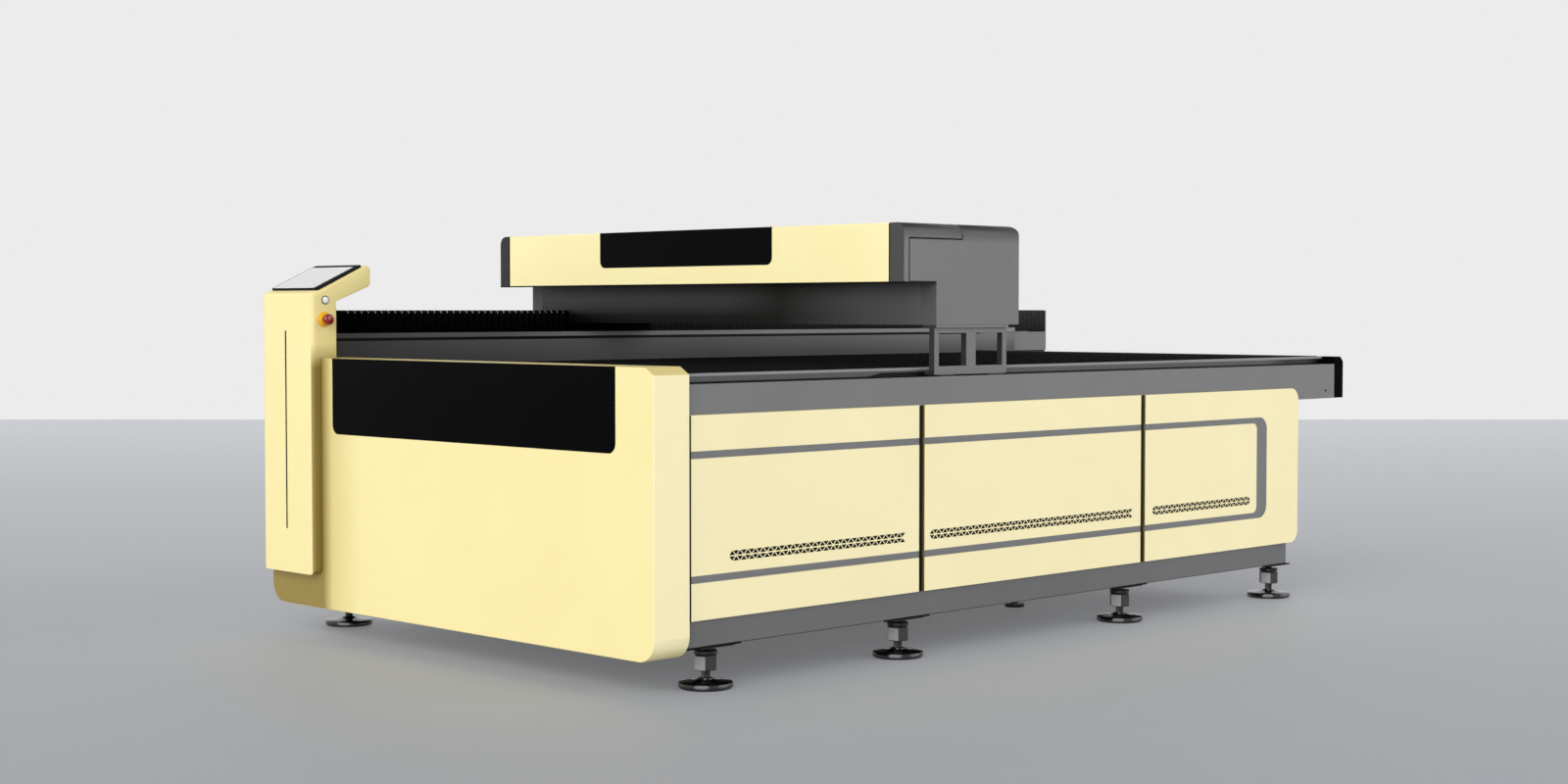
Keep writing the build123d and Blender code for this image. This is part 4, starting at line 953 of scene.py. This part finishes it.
# Black sheets recessed in the vent holes: painted shade of the inside
mesh = bmesh.new()
for start, end in VENTS:
    for place in range(1, int(2 * (end - start) / VENT_PITCH)):
        y = start + place * VENT_PITCH / 2
        turn = 1 if place % 2 else -1
        for row in (1, -1):
            middle = VENT_MIDDLE + row * VENT_STEP / 2
            rise = turn * row * VENT_RISE / 2
            ends = (y - VENT_BASE / 2, y + VENT_BASE / 2)
            corners = ((ends[0], middle - rise), (ends[1], middle - rise), (y, middle + rise))
            looped(mesh, [[at(FRAME_HALF + depth, u, v) for u, v in corners] for depth in VENT_DEPTH])
finished("vent_hole_shadows", mesh, (line_black,), "bed", "dark_moulding")

# Dark joints behind the front cover, and black lines of painted shadow along the beams, the base and over
# the foot plates; a dark line under the box
COVER_REAR = 130
COVER_JOINT = 12.5
JOINT_THICK = 1.2
BASE_BOTTOM = 125
BASE_END = 3106
BASE_LINE = 1.6
PLATE_REACH = (-117, 89)
PLATE_LINE = (-4, 2.4)
LINE_THICK = 0.5
BOX_SIDES = (-932, -837)
BOX_REACH = (3494, 3904)
BOX_SKIRT = (867, 876.7)
BEAM_TOP = 853
BEAM_END = 3428
BEAM_LINES = (COVER_REAR + 6, BEAM_END - 8)
RIM_OUTER = 880
RIM_SLOT_SHADE = (848, 857)
WALL_INNER = -806
WALL_SHADOW_LINE = (953.5, 963.5)
mesh = bmesh.new()
for side in (1, -1):
    for inner, low, high in ((PANEL_HALF, PANEL_LOW, PANEL_HIGH), (FRAME_HALF, PANEL_HIGH, BEAM_TOP)):
        reach = sorted((side * inner, side * (inner + JOINT_THICK)))
        block(mesh, (reach[0], COVER_REAR, low), (reach[1], COVER_REAR + COVER_JOINT, high), round_by=0.4)
for x, thick, (low, high), edge in ((WALL_INNER, 0.7, WALL_SHADOW_LINE, 0.2), (RIM_OUTER, 1.4, RIM_SLOT_SHADE, 0.4)):
    block(mesh, (x, BEAM_LINES[0], low), (x + thick, BEAM_LINES[1], high), round_by=edge)
for side in (1, -1):
    reach = sorted((side * FRAME_HALF, side * (FRAME_HALF + LINE_THICK)))
    length = (COVER_REAR + 3, BASE_END)
    block(mesh, *zip(reach, length, (BASE_BOTTOM, BASE_BOTTOM + BASE_LINE)), round_by=0.2)
    for row in FOOT_ROWS:
        length = (row + PLATE_REACH[0], min(row + PLATE_REACH[1], BASE_END))
        height = (BASE_BOTTOM + PLATE_LINE[0], BASE_BOTTOM + PLATE_LINE[1])
        block(mesh, *zip(reach, length, height), round_by=0.2)
block(mesh, *zip(BOX_SIDES, BOX_REACH, BOX_SKIRT), round_by=0.4)
finished("joints_and_shadow_lines", mesh, (line_black,), "bed", "dark_moulding")

# Gaskets in the gaps round the lid's end caps, and thin black lines of painted shadow beside them and under
# the side cover
GANTRY_LEFT = -1048
GANTRY_RIGHT = 932
CAP_BACK = 1040
LID_UNDER = 1274.5
LID_REAR = 1284
LID_LOW = 1142
GANTRY_TOP = 1321
ROUND_START = GANTRY_TOP - 31
GASKET_DEPTH = (0.6, 3)
GASKET_GAP = (0.7, 1.5)
cap_gap = [CAP_BACK + gap for gap in GASKET_GAP]
rear_gap = [LID_REAR + gap for gap in GASKET_GAP]
down_gasket = (cap_gap, (LID_LOW, LID_UNDER))
level_gasket = ((cap_gap[1], LID_REAR + 1), (LID_UNDER, LID_UNDER + 0.8))
rear_gasket = (rear_gap, (LID_UNDER, ROUND_START))
mesh = bmesh.new()
for outer, inward in ((GANTRY_RIGHT, -1), (GANTRY_LEFT, 1)):
    reach = sorted(outer + inward * depth for depth in GASKET_DEPTH)
    for length, height in (down_gasket, level_gasket, rear_gasket):
        block(mesh, *zip(reach, length, height), round_by=0.2)
LINE = 2.6
LINE_GAP = 1.7
line_reach = (GANTRY_RIGHT, GANTRY_RIGHT + 0.25)
CROSSBEAM_FRONT = 1166
down_cap = ((CAP_BACK + LINE_GAP, CAP_BACK + LINE_GAP + LINE), (LID_LOW, LID_UNDER - 1))
under_lid = ((CAP_BACK + LINE_GAP, LID_REAR + 1), (LID_UNDER - LINE, LID_UNDER - 0.2))
behind_lid = ((LID_REAR + LINE_GAP, LID_REAR + LINE_GAP + LINE), (LID_UNDER - LINE, ROUND_START))
under_cover = ((CAP_BACK + 2, CROSSBEAM_FRONT), (LID_LOW - 2, LID_LOW + 2.2))
for length, height in (down_cap, under_lid, behind_lid, under_cover):
    block(mesh, *zip(line_reach, length, height), round_by=0.1)
# A black wedge of painted shadow, shaped like a wiper, that runs ahead of the leg along the beam's rim
LEG_SHADOW = ((-270, 0.4), (0, 0.4), (0, 14), (-190, 14))
LEG_SHADOW_SIDES = (RIM_OUTER + 1.7, RIM_OUTER + 4.2)
leg_shadow_loops = []
for x in LEG_SHADOW_SIDES:
    leg_shadow_loops.append([at(x, CROSSBEAM_FRONT + along, BEAM_TOP + rise) for along, rise in LEG_SHADOW])
looped(mesh, leg_shadow_loops)
finished("gantry_gaskets_and_shadows", mesh, (line_black,), "gantry", "dark_moulding")

# Dark joints of the lid beside its end caps, and a black strip of painted shade along its lower edge
LID_LEFT = -992
LID_RIGHT = 869
LID_FRONT = 1019
LEFT_JOINT = 7
RIGHT_JOINT = 5
joint_front = LID_FRONT - 0.25
upright = (LID_LOW + 1, GANTRY_TOP - 4.5)
lid_edge_shade = (LID_LOW - 4, LID_LOW + 0.4)
mesh = bmesh.new()
for sides in ((LID_LEFT - LEFT_JOINT, LID_LEFT), (LID_RIGHT, LID_RIGHT + RIGHT_JOINT)):
    block(mesh, *zip(sides, (joint_front, LID_FRONT + 0.2), upright), round_by=0.1)
block(mesh, *zip((GANTRY_LEFT, GANTRY_RIGHT), (joint_front, CAP_BACK), lid_edge_shade), round_by=0.3)
finished("lid_joints_and_shade", mesh, (line_black,), "lid", "dark_moulding")

# Screws: hinge leaves, rear cover, rear panel and spigot flange, and the right beam's end; a bead round
# the spigot's rim
HINGE_SCREW = (4, 1.8)
SHEET_SCREW = (6, 3)
SPIGOT_BOLT = (5, 3)
END_HEAD = (4.5, 1.6)
CLAMP_SCREW = (4, 3)
HINGES = (-702, -61.5, 579)
HINGE_Y = 1284.75
LEAF_TOP = 1323
HINGE_PART = 30
LEAF_MIDDLE = 16
lid_screws = bmesh.new()
gantry_screws = bmesh.new()
for place in HINGES:
    screw_head(lid_screws, (place, HINGE_Y - LEAF_MIDDLE, LEAF_TOP), UP, *HINGE_SCREW)
    for shift in (-HINGE_PART, HINGE_PART):
        screw_head(gantry_screws, (place + shift, HINGE_Y + LEAF_MIDDLE, LEAF_TOP), UP, *HINGE_SCREW)
finished("lid_hinge_screws", lid_screws, (zinc,), "lid", "ground_steel")
BACK = (0, 1, 0)
GANTRY_REAR = 1561
COVER_SCREWS = 8
COVER_ROW = (-962, 839)
COVER_LEVEL = 1024
for number in range(COVER_SCREWS):
    place = COVER_ROW[0] + (COVER_ROW[1] - COVER_ROW[0]) * number / (COVER_SCREWS - 1)
    screw_head(gantry_screws, (place, GANTRY_REAR, COVER_LEVEL), BACK, *SHEET_SCREW)
finished("gantry_screws", gantry_screws, (zinc,), "gantry", "ground_steel")

REAR_SHEET = 3108
REAR_COLUMNS = 7
REAR_HALF = 910
REAR_ROWS = (240, 710)
SIDE_LEVELS = (357, 593)
SPIGOT_Z = 470
SPIGOT_BOLTS = 8
BOLT_CIRCLE = 110
mesh = bmesh.new()
for level in REAR_ROWS:
    for number in range(REAR_COLUMNS):
        x = REAR_HALF * (2 * number / (REAR_COLUMNS - 1) - 1)
        screw_head(mesh, (x, REAR_SHEET, level), BACK, *SHEET_SCREW)
for level in SIDE_LEVELS:
    for x in (-REAR_HALF, REAR_HALF):
        screw_head(mesh, (x, REAR_SHEET, level), BACK, *SHEET_SCREW)
for number in range(SPIGOT_BOLTS):
    angle = math.tau * (number + 0.5) / SPIGOT_BOLTS
    place = (BOLT_CIRCLE * math.cos(angle), REAR_SHEET + 3, SPIGOT_Z + BOLT_CIRCLE * math.sin(angle))
    screw_head(mesh, place, BACK, *SPIGOT_BOLT)
finished("rear_screws", mesh, (zinc,), "bed", "ground_steel")
BEAD = ((97.2, 70), (97.2, 79.8), (100, 79.8), (101.6, 78.6), (102.2, 76.5), (101.6, 74.4), (100, 73.2))
mesh = bmesh.new()
turned(mesh, BEAD, (0, REAR_SHEET, SPIGOT_Z), BACK, steps=72)
finished("spigot_bead", mesh, (dark,), "bed", "dark_paint")
END_SCREW = (FRAME_HALF, 3368, 754)
mesh = bmesh.new()
screw_head(mesh, END_SCREW, RIGHT, *END_HEAD)
finished("beam_end_screw", mesh, (moulding,), "bed", "dark_moulding")

# Laser tube: a glass jacket round the bore, with ceramic collars and metal ends
TUBE_LEFT = -880
TUBE_LENGTH = 1550
TUBE_Y = 1290
TUBE_Z = 1215
TUBE = 39.6
TUBE_SHOULDER = ((23, 12), (30, 12.5), (35, 14.5), (38, 18.5), (TUBE, 25))
TUBE_BORE = ((9, 14), (9, TUBE_LENGTH - 14))
ELECTRODE = ((14, 60), (14.6, 62), (14.6, 118), (14, 120))
END_PIN = ((0, -39), (14, -39), (15, -38), (15, -22))
END_FLANGE = ((19.6, -21), (19.6, -6), (15, -5), (15, 2), (22, 3), (22, 10))
END_COLLAR = ((15, 3), (23, 3), (24, 4), (24, 11), (23, 12), (15, 12))
tube_end = (TUBE_LEFT, TUBE_Y, TUBE_Z)


def mirrored(profile):
    """Profile of the tube's other end."""
    return tuple((radius, TUBE_LENGTH - along) for radius, along in profile)


jacket = bmesh.new()
turned(jacket, TUBE_SHOULDER + mirrored(reversed(TUBE_SHOULDER)), tube_end, RIGHT, steps=48)
finished("tube_jacket", jacket, (glass,), "gantry", "tube_glass", "laser_tube")
bore = bmesh.new()
turned(bore, TUBE_BORE, tube_end, RIGHT, steps=24)
for profile in (ELECTRODE, mirrored(ELECTRODE)):
    turned(bore, profile, tube_end, RIGHT, steps=24)
finished("tube_bore", bore, (ceramic,), "gantry", "tube_glass")
ends = bmesh.new()
collars = bmesh.new()
for profile, mesh in ((END_PIN + END_FLANGE, ends), (END_COLLAR, collars)):
    turned(mesh, profile, tube_end, RIGHT)
    turned(mesh, mirrored(profile), tube_end, RIGHT)
finished("tube_ends", ends, (alloy,), "gantry", "alloy")
finished("tube_collars", collars, (ceramic,), "gantry", "tube_glass")

# Clamp screws on the tube's cradles, and the lens tube with its knurled ring and nozzle
CLAMPS = (-595, 385)
CLAMP_REACH = 49.5
CLAMP_DROP = 20
mesh = bmesh.new()
for place in CLAMPS:
    for side in (-1, 1):
        spot = (place, TUBE_Y + side * CLAMP_REACH, TUBE_Z - CLAMP_DROP)
        screw_head(mesh, spot, (0, side, 0), *CLAMP_SCREW)
finished("clamp_screws", mesh, (zinc,), "gantry", "ground_steel")
LENS = (806, 1470, 890)
LENS_RADIUS = 15.9
KNURLS = 48
KNURL_DEPTH = 0.7
KNURL_ROWS = ((42, 1), (43, 0), (55, 0), (56, 1))
NOZZLE = ((1.2, 0), (4, 0), (4.6, 0.8), (10.4, 20), (10.6, 24), (12.6, 24.6), (12.6, 40), (13.4, 40.8))
BARREL_FOOT = ((13.4, 58), (LENS_RADIUS - 1.2, 60), (LENS_RADIUS, 61))
BARREL_TOP = ((LENS_RADIUS, 199), (LENS_RADIUS - 1, 200), (0, 200))


def ringed(middle, radius, notch, steps):
    """Points of a level ring, with every second one drawn in."""
    points = []
    for step in range(steps):
        angle = math.tau * step / steps
        reach = radius - notch * (step % 2)
        offset = Vector((math.cos(angle), math.sin(angle), 0)) * reach
        points.append(at(*(Vector(middle) + offset)))
    return points


mesh = bmesh.new()
turned(mesh, NOZZLE + BARREL_FOOT + BARREL_TOP, LENS, UP)
rows = []
for rise, inset in KNURL_ROWS:
    middle = (LENS[0], LENS[1], LENS[2] + rise)
    rows.append(ringed(middle, LENS_RADIUS - inset, KNURL_DEPTH, 2 * KNURLS))
looped(mesh, rows)
finished("lens_barrel", mesh, (brass,), "lens", "nozzle_brass", "lens_tube")

# Ball screw with its rolled grooves and journals, and the toothed wheels of screw and motor
SCREW = (-866, 0, 990)
MOTOR = (-866, 0, 918)
SCREW_LEAD = 40
BALL_GROOVE = ((9.8, 0), (9.8, 0.5), (8.6, 0.75))
SCREW_FROM = 195.6
SCREW_TO = 3818
SCREW_CORE = 8.5
SCREW_SEAT = (9.6, 3839.4)
JOURNAL = 7.85
JOURNAL_TIP = 170.2
SHAFT = 3.8
SHAFT_TIP = 3857.5
WHEEL = (3871.1, 3884.9)
WHEEL_RADIUS = 14.85
TOOTH = 1.0
TEETH = 24


def toothed(mesh, middle):
    """Belt wheel with square teeth, about an axis along the machine."""
    loops = []
    for place, share in ((WHEEL[0], 0.2), (WHEEL[0], 1), (WHEEL[1], 1), (WHEEL[1], 0.2)):
        loop = []
        for step in range(4 * TEETH):
            angle = math.tau * step / (4 * TEETH)
            reach = (WHEEL_RADIUS - (TOOTH if step % 4 > 1 else 0)) * share
            loop.append(at(middle[0] + reach * math.cos(angle), place, middle[2] + reach * math.sin(angle)))
        loops.append(loop)
    looped(mesh, loops)


mesh = bmesh.new()
grooved = (SCREW_FROM, SCREW_TO - SCREW_LEAD)
threaded(mesh, SCREW, *grooved, BALL_GROOVE, SCREW_LEAD, steps=16, starts=2, axis=BACK)
tip = ((0, JOURNAL_TIP), (JOURNAL - 0.6, JOURNAL_TIP), (JOURNAL, JOURNAL_TIP + 0.6))
core = ((SCREW_CORE, SCREW_FROM), (SCREW_CORE, SCREW_TO), (SCREW_SEAT[0], SCREW_TO), SCREW_SEAT)
neck = ((JOURNAL, SCREW_FROM - 0.1),)
journal = ((JOURNAL, SCREW_SEAT[1] + 0.1), (JOURNAL, WHEEL[0] + 0.1))
turned(mesh, tip + neck + core + journal, SCREW, BACK, steps=48)
toothed(mesh, SCREW)
finished("screw_grooves", mesh, (steel,), "screw", "ground_steel", "ball_screw")
mesh = bmesh.new()
shaft = ((0, SHAFT_TIP), (SHAFT - 0.4, SHAFT_TIP), (SHAFT, SHAFT_TIP + 0.4), (SHAFT, WHEEL[0] + 0.1))
turned(mesh, shaft, MOTOR, BACK, steps=32)
toothed(mesh, MOTOR)
finished("motor_wheel_teeth", mesh, (alloy,), "motor_wheel", "alloy", "motor_pulley")

# Finish of the CAD nodes: by the record's slot, with the paints that differ from their slot's by node
SLOT_MATERIAL = {
    "cream_paint": cream,
    "gray_paint": gray,
    "dark_paint": dark,
    "black_paint": black_paint,
    "dark_moulding": moulding,
    "black_window": window_black,
    "bellows_cloth": cloth,
    "foot_steel": foot_black,
    "ground_steel": steel,
    "slat_steel": scorched,
    "alloy": alloy,
    "tube_glass": glass,
    "nozzle_brass": brass,
    "belt_rubber": rubber,
    "screen_glass": screen,
    "collar_yellow": yellow,
    "button_red": red,
    "button_chrome": white,
}
NODE_MATERIAL = {
    "front_cover": cover_cream,
    "lid_shell": lid_cream_lit,
    "crossbeam": crossbeam_gray,
    "left_riser": moulding,
    "screw_bearings": moulding,
    "guide_carriages": oiled,
    "right_panel_front": panel_cream,
    "right_panel_middle": panel_cream,
    "right_panel_rear": panel_cream,
    "left_panels": panel_cream,
    "right_beam": beam_gray,
    "left_beam": wall_gray,
    "rear_crossbar": black_paint,
    "welded_frame": base_gray,
    "side_covers": gantry_gray,
    "rear_cover": gantry_gray,
    "lid_end_caps": cap_gray,
    "right_leg": leg_gray,
}
for row in frame["record"]["subparts"]:
    node = nodes[row["node"]]
    node.data.materials.clear()
    node.data.materials.append(NODE_MATERIAL.get(row["node"], SLOT_MATERIAL[row["material_slot"]]))

# Sheet metal edges are slightly rounded
EDGE_ROUND = 1.0 * MM
EDGE_TURN = math.radians(40)
SHEET_NODES = (
    "front_cover",
    "right_panel_front",
    "right_panel_middle",
    "right_panel_rear",
    "left_panels",
    "lid_shell",
    "lid_end_caps",
    "side_covers",
    "rear_cover",
    "crossbeam",
    "right_leg",
    "right_beam",
    "left_beam",
    "welded_frame",
    "drive_box",
)
for name in SHEET_NODES:
    weld = nodes[name].modifiers.new("joined", "WELD")
    weld.merge_threshold = 0.01 * MM
    flat = nodes[name].modifiers.new("flat", "DECIMATE")
    flat.decimate_type = "DISSOLVE"
    flat.angle_limit = math.radians(1)
    edges = nodes[name].modifiers.new("edges", "BEVEL")
    edges.width = EDGE_ROUND
    edges.segments = 2
    edges.limit_method = "ANGLE"
    edges.angle_limit = EDGE_TURN
    edges.use_clamp_overlap = True
    edges.harden_normals = True
